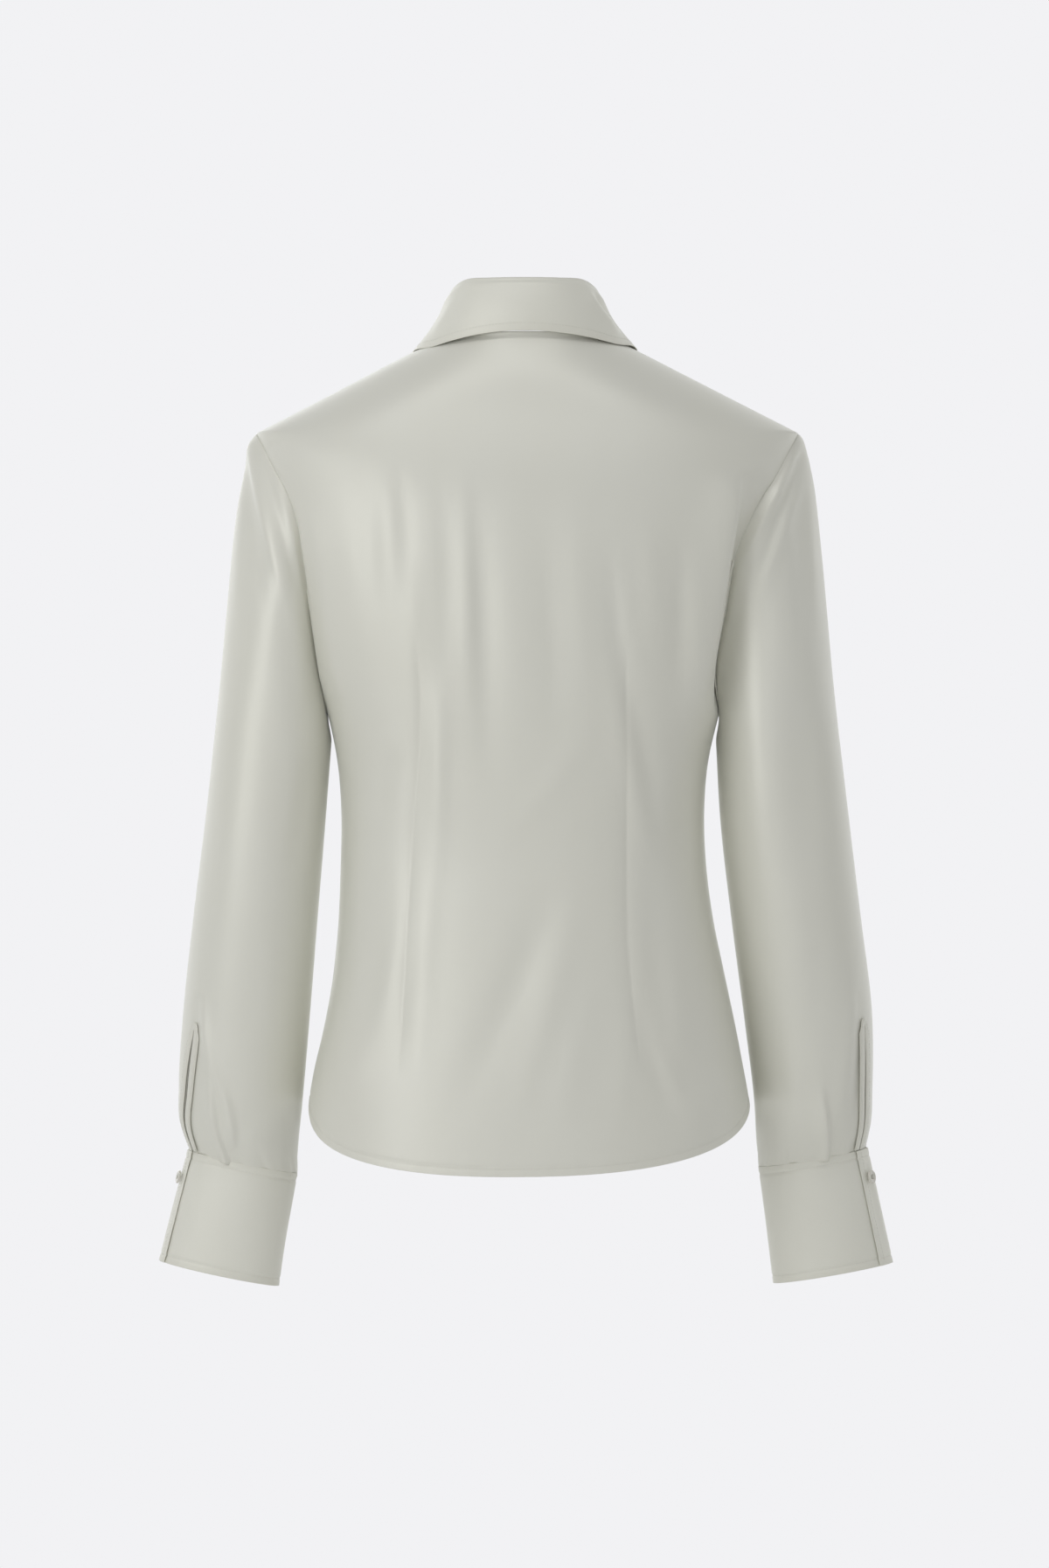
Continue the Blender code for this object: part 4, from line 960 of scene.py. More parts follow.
def pinned_to_dart(side, across, height, girth):
    """The columns of one row with three of them moved onto the dart's line."""
    dart = abs(float(across_at(side * DART_REACH[side](height), height)))
    column = len(across) - int(len(across) * DART_COLUMN)
    moved = across.copy()
    wide = DART_LINE_WIDTH / girth
    moved[column - 1:column + 2] = dart + wide, dart, dart - wide
    strip = EDGE_STRIP_COLUMNS
    moved[strip:column] = np.interp(across[strip:column], [across[column - 1], across[strip]],
                                    [moved[column - 1], across[strip]])
    moved[column + 1:] = np.interp(across[column + 1:], [across[-1], across[column + 1]],
                                   [0.0, moved[column + 1]])
    share = smooth_step((SETTLED_HEIGHT - height) / (SETTLED_HEIGHT - DART_TOP))
    return across + (moved - across) * share


def half_panel(half, side):
    """Reach and height of every point of one half of the back, or of one front."""
    place = panel_places(half)
    top, heights = top_edge(half, side, place)
    reach_rows, height_rows = [], []
    power = np.interp(place, [0, CORNER_PLACE[half], 1], ROW_SPREAD)
    top_share = (top[0] - top) / top[0]
    for share in np.linspace(0, 1, UPPER_ROWS + 1):
        edge_height = TIP_HEIGHT + (SETTLED_HEIGHT - TIP_HEIGHT) * share ** 2
        edge = ARMHOLE_SHARE[half](edge_height) * half_width(side, edge_height)
        blend = top_share + (place - top_share) * share
        reach_rows.append(edge * (1 - blend))
        height_rows.append(heights + (SETTLED_HEIGHT - heights) * share ** power)
    settled = reach_rows[-1]
    across_settled = np.abs(across_at(side * np.maximum(settled, 0), SETTLED_HEIGHT))
    count = int((SETTLED_HEIGHT - SIDE_HEM - HEM_STRIP) / LOWER_ROW_STEP)
    lower = list(np.linspace(SETTLED_HEIGHT, SIDE_HEM + HEM_STRIP, count + 1)[1:])
    lower += list(np.linspace(SIDE_HEM + HEM_STRIP, SIDE_HEM, int(HEM_STRIP / HEM_ROW_STEP) + 1)[1:])
    for height in lower:
        edge_share = ARMHOLE_SHARE[half](height) if height > UNDERARM_HEIGHT else 1.0
        edge_across = abs(float(across_at(side * edge_share * half_width(side, height), height)))
        across = across_settled * edge_across / across_settled[0]
        if half == BACK:
            girth = half_width(side, height) + DEPTH[half](height) / 2
            across = pinned_to_dart(side, across, height, girth)
        drop = smooth_step((HEM_TURN_HEIGHT - height) / (HEM_TURN_HEIGHT - SIDE_HEM))
        low = hem_height(half, side, across)
        reach_rows.append(np.abs(body_point(half, side * across, height)[..., 0]))
        height_rows.append(height + (low - SIDE_HEM) * drop)
    reach, height = np.array(reach_rows), np.array(height_rows)
    if half == FRONT:
        past = -np.arange(1, LAP_COLUMNS + 1) * FRONT_LAP / LAP_COLUMNS
        reach = np.concatenate([reach, np.broadcast_to(past, (len(reach), LAP_COLUMNS))], axis=1)
        height = np.concatenate([height, np.repeat(height[:, -1:], LAP_COLUMNS, axis=1)], axis=1)
    return reach, height


def eased(depth, height):
    """The depths of a panel's points with the bend at the shoulder's tip eased, but for its edges."""
    found = depth
    for _ in range(EASING_STEPS):
        middle = (found[:-2] + 2 * found[1:-1] + found[2:]) / 4
        found = np.concatenate([found[:1], middle, found[-1:]])
    rows = len(depth)
    away = np.minimum(np.arange(rows), rows - 1 - np.arange(rows))[:, None]
    column = np.arange(depth.shape[1])[None]
    share = smooth_step(away / EASED_ROWS) * smooth_step(column / (EDGE_STRIP_COLUMNS + EASED_COLUMNS))
    return depth + (found - depth) * share * bell(height - TIP_HEIGHT, EASED_HEIGHT)


def dart_lift(side, reach, height):
    """The fisheye dart: a fine stitched line in a soft trough."""
    share = (DART_TOP - height) / (DART_TOP - DART_BOTTOM)
    fade = smooth_step(share * DART_FADE) * smooth_step((1 - share) * DART_FADE)
    gap = reach - DART_REACH[side](height)
    return -fade * (DART_SOFT_DEPTH * bell(gap, DART_SOFT_WIDTH)
                    + DART_LINE_DEPTH * bell(gap, DART_LINE_WIDTH))


def tuck_shift(side, height, weight):
    """How the back's armhole edge sinks under its own fold."""
    inside = (height < TIP_HEIGHT) & (height > UNDERARM_HEIGHT)
    weight = np.where(inside, weight, 0.0)
    forward = TUCK[side]["forward"](height) * weight
    inward = TUCK[side]["inward"](height) * weight
    return vectors(-side * inward, forward, 0.0)


def panel_points(half, side, settings):
    """Points of one half of the back, or of one front, rows down and columns inwards."""
    reach, height = half_panel(half, side)
    across = across_at(side * reach, height)
    points = body_point(half, across, height)
    outward = body_outward(half, across, height)
    points[..., 1] = eased(points[..., 1], points[..., 2])
    listed = BACK_CREASES if half == BACK else FRONT_CREASES
    lift = crease_lift(listed, side * reach, height) * settings.crease_share
    along = distance_from(points, "left")
    lift *= smooth_step(along / EDGE_EASE)
    from_stitches = distance_from(points, "bottom") - settings.hem_width
    wave = (along + 0.4 * (side + half)) * 2 * math.pi / HEM_PUCKER_LENGTH
    lift += settings.pucker * uneven(wave, 1.3 * half + side) * bell(from_stitches, HEM_PUCKER_REACH)
    lift -= STITCH_GROOVE * bell(from_stitches, HEM_GROOVE_WIDTH)
    if half == BACK:
        lift += dart_lift(side, reach, height)
        weight = smooth_step(1 - (reach[:, :1] - reach) / TUCK_WIDTH[side])
        points = points + tuck_shift(side, height, weight)
    elif side == LEFT:
        lift -= UNDER_LAP_DROP * smooth_step((UNDER_LAP_EASE - reach) / (UNDER_LAP_EASE - FRONT_LAP))
    return points + outward * lift[..., None]


def back_grid(settings):
    left = panel_points(BACK, LEFT, settings)
    right = panel_points(BACK, RIGHT, settings)[:, ::-1]
    return np.concatenate([left, right[:, 1:]], axis=1)


def finished_panel(name, grid, flip, settings, inner_edge=None):
    """A body panel with its seams and hem turned in, and the stitches of its hem and front edge."""
    lines = lines_inside(grid, flip, ["bottom"], settings.hem_width)
    if inner_edge:
        lines += lines_inside(grid, flip, [inner_edge], settings.edge_stitching)
    sewn = stitches(f"{name}_stitches", lines, settings)
    outward = grid_outward(grid, flip)
    for edge in ("left", "right", "top", "bottom"):
        width, drop = settings.seam_allowance, SEAM_DROP
        if edge == "bottom":
            width = settings.hem_width + HEM_TURN_IN
        elif edge == inner_edge:
            width = FACING_WIDTH
        elif edge != "top":
            share = smooth_step((face_edge(grid, edge)[0, :, 2] - UNDERARM_HEIGHT) / ARMHOLE_DROP_EASE)
            drop = SEAM_DROP + (ARMHOLE_DROP - SEAM_DROP) * share
        grid, outward = turned_under(grid, outward, edge, width, drop)
    piece = shell_piece(f"{name}_cloth", grid, settings.cloth_wall, flip, EDGES)
    finish_cloth(piece, name, satin_material(settings))


def make_back(settings):
    finished_panel("back", back_grid(settings), False, settings)


def make_fronts(settings):
    finished_panel("front_left", panel_points(FRONT, LEFT, settings), True, settings, "right")
    finished_panel("front_right", panel_points(FRONT, RIGHT, settings), False, settings, "right")
    buttonholes(settings)


# ---- sleeves

def armhole_point(side, turn, inset=0.0):
    """Points of the armhole seam, or of a line inside it on the body. turn is 0 at the shoulder tip, 90 at
    the back and 180 at the underarm."""
    turn = np.asarray(turn, float) % 360
    found = np.zeros(turn.shape + (3,))
    drop = np.linspace(0, 1, ARMHOLE_STEPS) ** 2
    shares = np.concatenate([drop / 2, 1 - drop[-2::-1] / 2])
    heights = TIP_HEIGHT + (UNDERARM_HEIGHT - TIP_HEIGHT) * shares
    for half in (BACK, FRONT):
        reach = side * (ARMHOLE_SHARE[half](heights) * half_width(side, heights) - inset)
        line = body_point(half, across_at(reach, heights), heights)
        if half == BACK:
            line = line + tuck_shift(side, heights, smooth_step(1 - inset / TUCK_WIDTH[side]))
        length = lengths_along(line)
        share = turn / 180 if half == BACK else (360 - turn) / 180
        spot = points_at(line, length, share * length[-1])
        on_half = turn <= 180 if half == BACK else turn > 180
        found = np.where(on_half[..., None], spot, found)
    return found


RINGS = {side: {name: table_curve(SLEEVE_RINGS[side], name) for name in SleeveRing._fields[1:]}
         for side in (LEFT, RIGHT)}


def ring_point(side, turn, centre, width, depth, lean):
    """Points of an oval ring that leans outwards. turn is in degrees."""
    turn = np.radians(turn)
    lean = np.radians(lean)
    out = vectors(side * np.cos(lean), 0.0, np.sin(lean))
    rear = np.array([0.0, -1.0, 0.0])
    return (centre + out * (width * np.cos(turn))[..., None] + rear * (depth * np.sin(turn))[..., None])


def tube_point(side, turn, height):
    """Points of the sleeve below the armhole, at the height of a ring's middle."""
    turn, height = matched(turn, height)
    ring = {name: curve(height) for name, curve in RINGS[side].items()}
    centre = vectors(side * ring["reach"], ring["forward"], height)
    return ring_point(side, turn, centre, ring["half_width"], ring["half_depth"], ring["lean"])


def cap_point(side, turn, share):
    """Points of the sleeve cap, from the armhole seam (share 0) to the first ring (share 1)."""
    turn, share = matched(turn, share)
    out, around, down = CAP_START
    start_way = unit(vectors(side * out, -around * np.sin(np.radians(turn)), -down))
    start = armhole_point(side, turn) + start_way * CAP_SEAM_GAP
    end = tube_point(side, turn, SLEEVE_TOP)
    end_way = unit(tube_point(side, turn, SLEEVE_TOP - CAP_END_STEP) - end)
    length = np.linalg.norm(end - start, axis=-1, keepdims=True)
    return hermite(start, end, start_way * length * CAP_START_PULL, end_way * length, share[..., None])


def slit_share(side, height):
    slit = SLITS[side]
    return np.clip((slit.top_height - height) / (slit.top_height - SLEEVE_RINGS[side][-1].height), 0, 1)


def slit_turn(side, height):
    """Where the slit's middle lies around the sleeve, in degrees."""
    slit = SLITS[side]
    return slit.top_turn + (slit.bottom_turn - slit.top_turn) * slit_share(side, height)


def slit_gape(side, height):
    """Half the slit's opening, in degrees around the sleeve. It is widest a little above the cuff."""
    share = slit_share(side, height)
    power, arch, end = SLIT_BULGE
    shape = np.sin(math.pi * arch * share ** power) + end * share
    return np.degrees(SLITS[side].gape * shape / 2 / RINGS[side]["half_width"](height))


def pleat_lift(side, turn, height):
    """How far the pleat at the cuff lifts the sleeve."""
    pleat = PLEATS[side]
    share = (height - pleat.top_height) / (pleat.bottom_height - pleat.top_height)
    middle = pleat.top_turn + (pleat.bottom_turn - pleat.top_turn) * share
    gap = (turn - middle + 180) % 360 - 180
    width = np.where(gap * side > 0, pleat.width, pleat.width * PLEAT_SHARP_SIDE)
    return pleat.depth * smooth_step(share * PLEAT_RISE) * bell(gap, width)


def away_from_middle(side, points, height):
    """The level directions from the sleeve's middle line to points of its tube."""
    reach, forward = (RINGS[side][name](height) for name in ("reach", "forward"))
    return unit(points - vectors(side * reach, forward, points[..., 2]))


def sleeve_surface(side, turn, height):
    """Points of the sleeve's tube with its pleat."""
    points = tube_point(side, turn, height)
    return points + away_from_middle(side, points, height) * pleat_lift(side, turn, height)[..., None]


def fold_dip(points):
    """How much deeper the sleeve starts where the back folds over it."""
    height = points[..., 2]
    along = smooth_step((FOLD_TOP - height) / FOLD_FADE) * smooth_step((height - FOLD_END) / FOLD_FADE)
    return FOLD_DEPTH * along * smooth_step(0.5 - points[..., 1] / FOLD_FORWARD)


def sleeve_rows(side):
    """Points of the sleeve without its creases, and how many of its rows are closed rings."""
    slit = SLITS[side]
    spread = np.linspace(0, 360, SLEEVE_COLUMNS + 1)
    turns = slit.top_turn + spread
    rows = [cap_point(side, turns, share) for share in np.linspace(0, 1, CAP_ROWS) ** CAP_CLOSENESS]
    bottom = SLEEVE_RINGS[side][-1].height
    above = int((SLEEVE_TOP - slit.top_height) / TUBE_ROW_STEP)
    below = int((slit.top_height - bottom) / SLIT_ROW_STEP)
    heights = list(np.linspace(SLEEVE_TOP, slit.top_height, above + 1)[1:])
    rings = len(rows) + len(heights)
    heights += list(np.linspace(slit.top_height, bottom, below + 1)[1:])
    for height in heights:
        gape = slit_gape(side, height) if height < slit.top_height - 1e-6 else 0.0
        turned = slit_turn(side, height) + gape + spread * (360 - 2 * gape) / 360
        rows.append(sleeve_surface(side, turned, np.full(turned.shape, height)))
    return np.array(rows), rings


def sleeve_grid(side, settings):
    """Points of the whole sleeve, rows down and columns round from slit edge to slit edge, and its rings."""
    grid, rings = sleeve_rows(side)
    reach, forward, height = np.moveaxis(grid, -1, 0)
    behind = smooth_step(0.5 + (RINGS[side]["forward"](height) - forward) / SLEEVE_SIDE_BLEND)
    lift = (crease_lift(SLEEVE_BACK_CREASES[side], reach, height) * behind
            + crease_lift(SLEEVE_FRONT_CREASES[side], reach, height) * (1 - behind))
    cap_gap, cuff_gap, around = (distance_from(grid, edge) for edge in ("top", "bottom", "left"))
    lift *= settings.crease_share * smooth_step(cap_gap / CAP_EASE)
    lift -= fold_dip(grid) * bell(cap_gap, FOLD_WIDTH)
    lift *= smooth_step((cuff_gap - CUFF_EASE_START) / CUFF_EASE)
    near_slit = smooth_step(np.minimum(around, around[:, -1:] - around) / SLIT_EASE)
    lift *= np.where(height < SLITS[side].top_height + SLIT_EASE_RISE, near_slit, 1.0)
    gather = uneven(around * 2 * math.pi / CUFF_GATHER_LENGTH, side + 2.0)
    lift += CUFF_GATHER_DEPTH * gather * bell(cuff_gap, CUFF_GATHER_REACH)
    return grid + grid_outward(grid, side == RIGHT, rings) * lift[..., None], rings


def sleeve_allowances(side, grid, outward):
    """The sleeve with its seam allowance under the body's armhole edge, and its end inside the cuff."""
    turns = SLITS[side].top_turn + np.linspace(0, 360, SLEEVE_COLUMNS + 1)
    seam = armhole_point(side, turns)
    inwards = unit(armhole_point(side, turns, SLEEVE_UNDER[0]) - seam)
    around = np.gradient(seam, axis=0)
    around[0] = around[-1] = seam[1] - seam[-2]
    square = unit(np.cross(inwards, around))
    square *= np.sign(np.sum(square * outward[0], axis=-1, keepdims=True))
    drop = SLEEVE_EDGE_DROP + fold_dip(seam)[:, None]
    under = [seam + inwards * inset - square * drop for inset in SLEEVE_UNDER]
    first = grid[0] - square * SLEEVE_EDGE_DROP / 2
    onwards = unit(grid[-1] - grid[-2])
    end = [grid[-1] + onwards * reach - outward[-1] * CUFF_INSIDE_DROP for reach in CUFF_INSIDE]
    return np.concatenate([np.array(under), first[None], grid[1:], np.array(end)])


def make_sleeves(settings):
    for side, word in SIDE_WORDS.items():
        flip = side == RIGHT
        grid, rings = sleeve_grid(side, settings)
        grid = sleeve_allowances(side, grid, grid_outward(grid, flip, rings))
        piece = shell_piece(f"sleeve_{word}_cloth", grid, settings.cloth_wall, flip, ("top", "bottom"),
                            rings + len(SLEEVE_UNDER))
        finish_cloth(piece, f"sleeve_{word}", satin_material(settings))


# ---- cuffs and slit bindings

def cuff_point(side, turn, share, lift=0.0):
    """Points of a cuff's outside. turn runs from the under end, all the way round, to the lapped end."""
    cuff = CUFFS[side]
    last = SLEEVE_RINGS[side][-1]
    turn, share = matched(turn, share)
    lean = math.radians(last.lean)
    down = np.array([side * math.sin(lean), cuff.forward / cuff.depth, -math.cos(lean)])
    top = np.array([side * last.reach, last.forward, last.height])
    centre = top + down * (CUFF_GAP + cuff.depth * share)[..., None]
    lap = CUFF_LAP_RISE * smooth_step((turn - 360 - cuff.lap_turn + CUFF_LAP_EASE) / CUFF_LAP_RAMP)
    under = smooth_step((cuff.under_turn + CUFF_UNDER_EASE - turn) / CUFF_UNDER_EASE)
    lap = lap - CUFF_UNDER_SINK * share * under
    width = cuff.top_width + (cuff.end_width - cuff.top_width) * share + CUFF_OUTSTAND + lap + lift
    depth = cuff.top_depth + (cuff.end_depth - cuff.top_depth) * share + CUFF_OUTSTAND + lap + lift
    return ring_point(side, turn, centre, width, depth, np.full(turn.shape, float(last.lean)))


def cuff_grid(side, settings):
    """Points of a cuff with its puckers and its pinch beside the button, rows down and columns round."""
    cuff = CUFFS[side]
    lap_end = 360 + cuff.lap_turn
    strip = np.arange(0, CUFF_STRIP, CUFF_STRIP_STEP) / cuff.depth
    middle = np.linspace(strip[-1], 1 - strip[-1], CUFF_ROWS)[1:-1]
    share = np.concatenate([strip, middle, (1 - strip)[::-1]])[:, None]
    turns, share = np.broadcast_arrays(np.linspace(cuff.under_turn, lap_end, CUFF_COLUMNS + 1)[None], share)
    angle = np.radians(turns)
    from_stitches = np.minimum(share, 1 - share) * cuff.depth - settings.edge_stitching
    wave = angle * CUFF_WAVES + share * CUFF_WAVE_SLANT
    lift = CUFF_WAVE * uneven(wave, side + 0.5) * np.sin(math.pi * share)
    lift = lift + (settings.pucker * CUFF_PUCKER_SHARE * uneven(angle * CUFF_PUCKERS, 2.2 * side)
                   * bell(from_stitches, EDGE_PUCKER_REACH))
    lift = lift - (CUFF_PINCH * bell(lap_end - turns - CUFF_PINCH_TURN, CUFF_PINCH_WIDTH)
                   * np.sin(math.pi * np.interp(share, (0, 1), CUFF_PINCH_SPAN)))
    lift = lift * smooth_step((turns - cuff.under_turn) / CUFF_UNDER_EASE) * smooth_step(
        (lap_end - turns) / CUFF_LAP_END_EASE)
    return cuff_point(side, turns, share, lift - STITCH_GROOVE * bell(from_stitches, CUFF_GROOVE_WIDTH))


def binding_grid(side):
    """The binding: up one edge of the slit, round its top and down the other edge."""
    slit = SLITS[side]
    bottom = SLEEVE_RINGS[side][-1].height + BINDING_END_GAP
    heights = np.linspace(bottom, slit.top_height, BINDING_STEPS)
    width = math.degrees(BINDING_WIDTH / RINGS[side]["half_width"](slit.top_height))
    rows = []
    for share in np.linspace(0, 1, BINDING_ROWS):
        spread = slit_gape(side, heights) + width * share
        top_spread = BINDING_TOP_GAPE + width * share * BINDING_TOP_SPREAD
        spread[-1] = top_spread
        spread[-2] = (spread[-3] + top_spread) / 2
        middle = slit_turn(side, heights)
        arc = np.linspace(0, math.pi, BINDING_ARC + 1)[1:-1]
        arc_turn = middle[-1] + top_spread * np.cos(arc)
        arc_height = slit.top_height + BINDING_WIDTH * share * np.sin(arc)
        turn = np.concatenate([middle + spread, arc_turn, (middle - spread)[::-1]])
        rows.append(np.stack([turn, np.concatenate([heights, arc_height, heights[::-1]])], axis=-1))
    rows = np.array(rows)
    points = sleeve_surface(side, rows[..., 0], rows[..., 1])
    crown = BINDING_CROWN * np.sin(np.linspace(0, math.pi, BINDING_ROWS))[:, None, None]
    return points + away_from_middle(side, points, rows[..., 1]) * (BINDING_LIFT + crown)


def make_cuffs(settings):
    for side, word in SIDE_WORDS.items():
        flip = side == RIGHT
        grid = cuff_grid(side, settings)
        sewn_piece(f"cuff_{word}", grid, flip, lines_inside(grid, flip, EDGES, settings.edge_stitching),
                   interlined_material(settings), settings, kept=EDGES)
        grid = binding_grid(side)
        sewn_piece(f"slit_binding_{word}", grid, flip,
                   lines_inside(grid, flip, ["bottom"], BINDING_STITCH_INSET),
                   satin_material(settings), settings)


# ---- collar

def neck_point(turn):
    """Points of the neck seam. turn is 0 at the centre back and +-180 at the centre front, + to the right."""
    turn = np.asarray(turn, float)
    side_reach = np.where(turn < 0, NECK_REACH[LEFT], NECK_REACH[RIGHT])
    angle = np.radians(np.abs(turn))
    behind = np.abs(turn) <= 90
    bend = np.where(behind, NECK_BEND[BACK], NECK_BEND[FRONT])
    reach = np.sign(turn) * side_reach * np.abs(np.sin(angle)) ** bend
    drop = np.where(behind, NECK_DROP[BACK], NECK_DROP[FRONT]) * np.cos(angle) ** 2
    height = NECK_HEIGHT - drop
    back = body_point(BACK, across_at(reach, height), height)
    front = body_point(FRONT, across_at(reach, height), height)
    return np.where(behind[..., None], back, front)


def collar_line(turn, kind):
    """Points of the collar's fold line, or of the fall's lower edge, at a turn from the centre back."""
    size = np.abs(turn)
    first = COLLAR[1]
    rows = [first._replace(turn=-first.turn, fold_x=-first.fold_x, edge_x=-first.edge_x)] + COLLAR
    x, y, z = (table_curve(rows, f"{kind}_{axis}")(size) for axis in "xyz")
    if kind == "edge":
        z = z + np.where(turn > 0, table_curve(COLLAR, "right_rise")(size), 0)
    return vectors(np.sign(turn) * x, y, z)


def collar_outward(turn):
    """The level direction away from the neck."""
    points = collar_line(turn, "fold")
    level = points - np.array([0.0, COLLAR_MIDDLE, 0.0])
    level[..., 2] = 0
    return unit(level)


def fall_grid(settings):
    """The fall, from inside the stand over its roll and down to its lower edge."""
    last = COLLAR[-1].turn
    turns = np.linspace(-last, last, FALL_COLUMNS + 1)
    fold = collar_line(turns, "fold")
    edge = collar_line(turns, "edge")
    outward = collar_outward(turns)
    up = np.array([0.0, 0.0, 1.0])
    rows = [fold - outward * FALL_OVER_STAND - up * ROLL_INNER_DROP]
    for out, drop in ROLL_STEPS:
        rows.append(fold + outward * FALL_ROLL * out - up * drop)
    beside = bell(np.abs(turns) - FALL_SIDE_TURN, FALL_SIDE_SPREAD)[:, None]
    for share in FALL_SHARES:
        bulge = (FALL_BULGE + (FALL_SIDE_BULGE - FALL_BULGE) * beside) * math.sin(math.pi * share)
        rows.append(fold + (edge - fold) * share + outward * (bulge + FALL_ROLL * (1 - share)))
    grid = smoothed_rows(np.array(rows), FALL_ROWS)
    up_from_edge = distance_from(grid, "bottom")
    lift = crease_lift(COLLAR_CREASES, turns[None] * MM, up_from_edge) * settings.crease_share
    lift += (settings.pucker * FALL_PUCKER_SHARE * uneven(np.radians(turns)[None] * FALL_PUCKERS, 0.7)
             * bell(up_from_edge - settings.edge_stitching, EDGE_PUCKER_REACH))
    lift *= smooth_step(distance_from(grid, "top") / EDGE_EASE)
    return grid + grid_outward(grid, False) * lift[..., None]


def stand_point(turn, share, lift=0.0):
    """Points of the stand, from the neck seam (share 0) to its top edge (share 1)."""
    turn, share = matched(turn, share)
    base = neck_point(turn) + np.array([0.0, 0.0, STAND_LIFT])
    outward = collar_outward(turn)
    top = collar_line(turn, "fold") - outward * STAND_TUCK - np.array([0.0, 0.0, STAND_DROP])
    points = base + (top - base) * share[..., None]
    return points + outward * (STAND_BULGE * np.sin(math.pi * share) + lift)[..., None]


def stand_grid():
    """The stand, from its left end, under at the centre front, round the back to its right end on top."""
    turns = np.linspace(-CENTRE_TURN, CENTRE_TURN, STAND_COLUMNS + 1)
    rows = []
    for share in np.linspace(0, 1, STAND_ROWS):
        row = stand_point(turns, share)
        sink = smooth_step((-turns - STAND_LAP_START) / (180 - STAND_LAP_START)) * STAND_LAP_RISE
        row = row - collar_outward(turns) * sink[:, None]
        steps = np.linspace(STAND_LAP_TURN, 0, STAND_LAP_STEPS + 1)[:-1]
        height = share * (1 - (1 - STAND_END_HEIGHT) * (steps / STAND_LAP_TURN) ** 2)
        under = stand_point(180 - steps, height)
        under = under - collar_outward(180 - steps) * STAND_LAP_RISE
        over = stand_point(-180 + steps, height)[::-1]
        rows.append(np.concatenate([under, row, over]))
    return np.array(rows)


def make_collar(settings):
    grid = stand_grid()
    sewn_piece("collar_stand", grid, True, lines_inside(grid, True, ["top"], STAND_STITCH_INSET),
               interlined_material(settings), settings, kept=("top", "bottom"))
    grid = fall_grid(settings)
    inset = settings.edge_stitching
    lines = lines_inside(grid, False, ("left", "right"), inset, FALL_ROLL_ROWS)
    lines += lines_inside(grid, False, ["bottom"], inset)
    outer = ("bottom", "left", "right")
    sewn_piece("collar_fall", grid, False, lines, interlined_material(settings), settings, outer, outer)


# ---- buttons

# Profile of a button from its middle to its edge and round underneath, as shares of its radius and thickness
BUTTON_PROFILE = [(0.30, 0.30), (0.56, 0.31), (0.66, 0.38), (0.74, 0.48), (0.86, 0.50), (0.95, 0.40),
                  (1.00, 0.10), (0.97, -0.20), (0.85, -0.42), (0.60, -0.50), (0.0, -0.50)]
BUTTON_SIDES = 48
BUTTON_THICKNESS = 0.0022
HOLE_TURNS = (45, 135, 225, 315)
HOLE_REACH = 0.27
HOLE_SIZE = 0.00085
DRILL_LENGTH = 0.008
DRILL_SIDES = 16
SHARP_EDGE = 40            # edges of a button that turn by more degrees stay sharp


def level_way(turn):
    """The level direction at a turn in degrees."""
    return np.array([math.cos(math.radians(turn)), math.sin(math.radians(turn)), 0.0])


def oval_ring(centre, across, up, width, height, sides):
    """Points of an oval round a centre."""
    turns = [side / sides * 2 * math.pi for side in range(sides)]
    return [centre + across * math.cos(turn) * width + up * math.sin(turn) * height for turn in turns]


def add_tube(points, faces, rings, closed=False):
    """Adds a tube through rings of points to the points and faces of a mesh."""
    base, sides = len(points), len(rings[0])
    for ring in rings:
        points.extend(ring)
    for step in range(len(rings) if closed else len(rings) - 1):
        a, b = base + step * sides, base + (step + 1) % len(rings) * sides
        for side in range(sides):
            after = (side + 1) % sides
            faces.append((a + side, b + side, b + after, a + after))


def button_mesh(radius):
    """A round pearl button with a raised rim and a dished middle."""
    points, faces = [(0.0, 0.0, BUTTON_PROFILE[0][1] * BUTTON_THICKNESS)], []
    turns = np.linspace(0, 2 * math.pi, BUTTON_SIDES, endpoint=False)
    for share, height in BUTTON_PROFILE[:-1]:
        for turn in turns:
            points.append((math.cos(turn) * share * radius, math.sin(turn) * share * radius,
                           height * BUTTON_THICKNESS))
    points.append((0.0, 0.0, BUTTON_PROFILE[-1][1] * BUTTON_THICKNESS))
    rings = len(BUTTON_PROFILE) - 1
    for side in range(BUTTON_SIDES):
        after = (side + 1) % BUTTON_SIDES
        faces.append((0, 1 + side, 1 + after))
        for ring in range(rings - 1):
            a, b = 1 + ring * BUTTON_SIDES, 1 + (ring + 1) * BUTTON_SIDES
            faces.append((a + side, b + side, b + after, a + after))
        last = 1 + (rings - 1) * BUTTON_SIDES
        faces.append((last + side, len(points) - 1, last + after))
    return points, faces


def drilled_button(name, radius):
    """One button with its four holes cut through."""
    obj = mesh_object(name, *button_mesh(radius))
    drills = []
    for turn in HOLE_TURNS:
        bpy.ops.mesh.primitive_cylinder_add(vertices=DRILL_SIDES, radius=HOLE_SIZE, depth=DRILL_LENGTH,
                                            location=level_way(turn) * HOLE_REACH * radius)
        drills.append(bpy.context.active_object)
        cut = obj.modifiers.new("Hole", "BOOLEAN")
        cut.operation = "DIFFERENCE"
        cut.solver = "EXACT"
        cut.object = drills[-1]
    mesh = bpy.data.meshes.new_from_object(obj.evaluated_get(bpy.context.evaluated_depsgraph_get()))
    for done in (*drills, obj):
        bpy.data.objects.remove(done, do_unlink=True)
    mesh.name = name
    mesh.shade_smooth()
    mesh.set_sharp_from_angle(angle=math.radians(SHARP_EDGE))
    return mesh


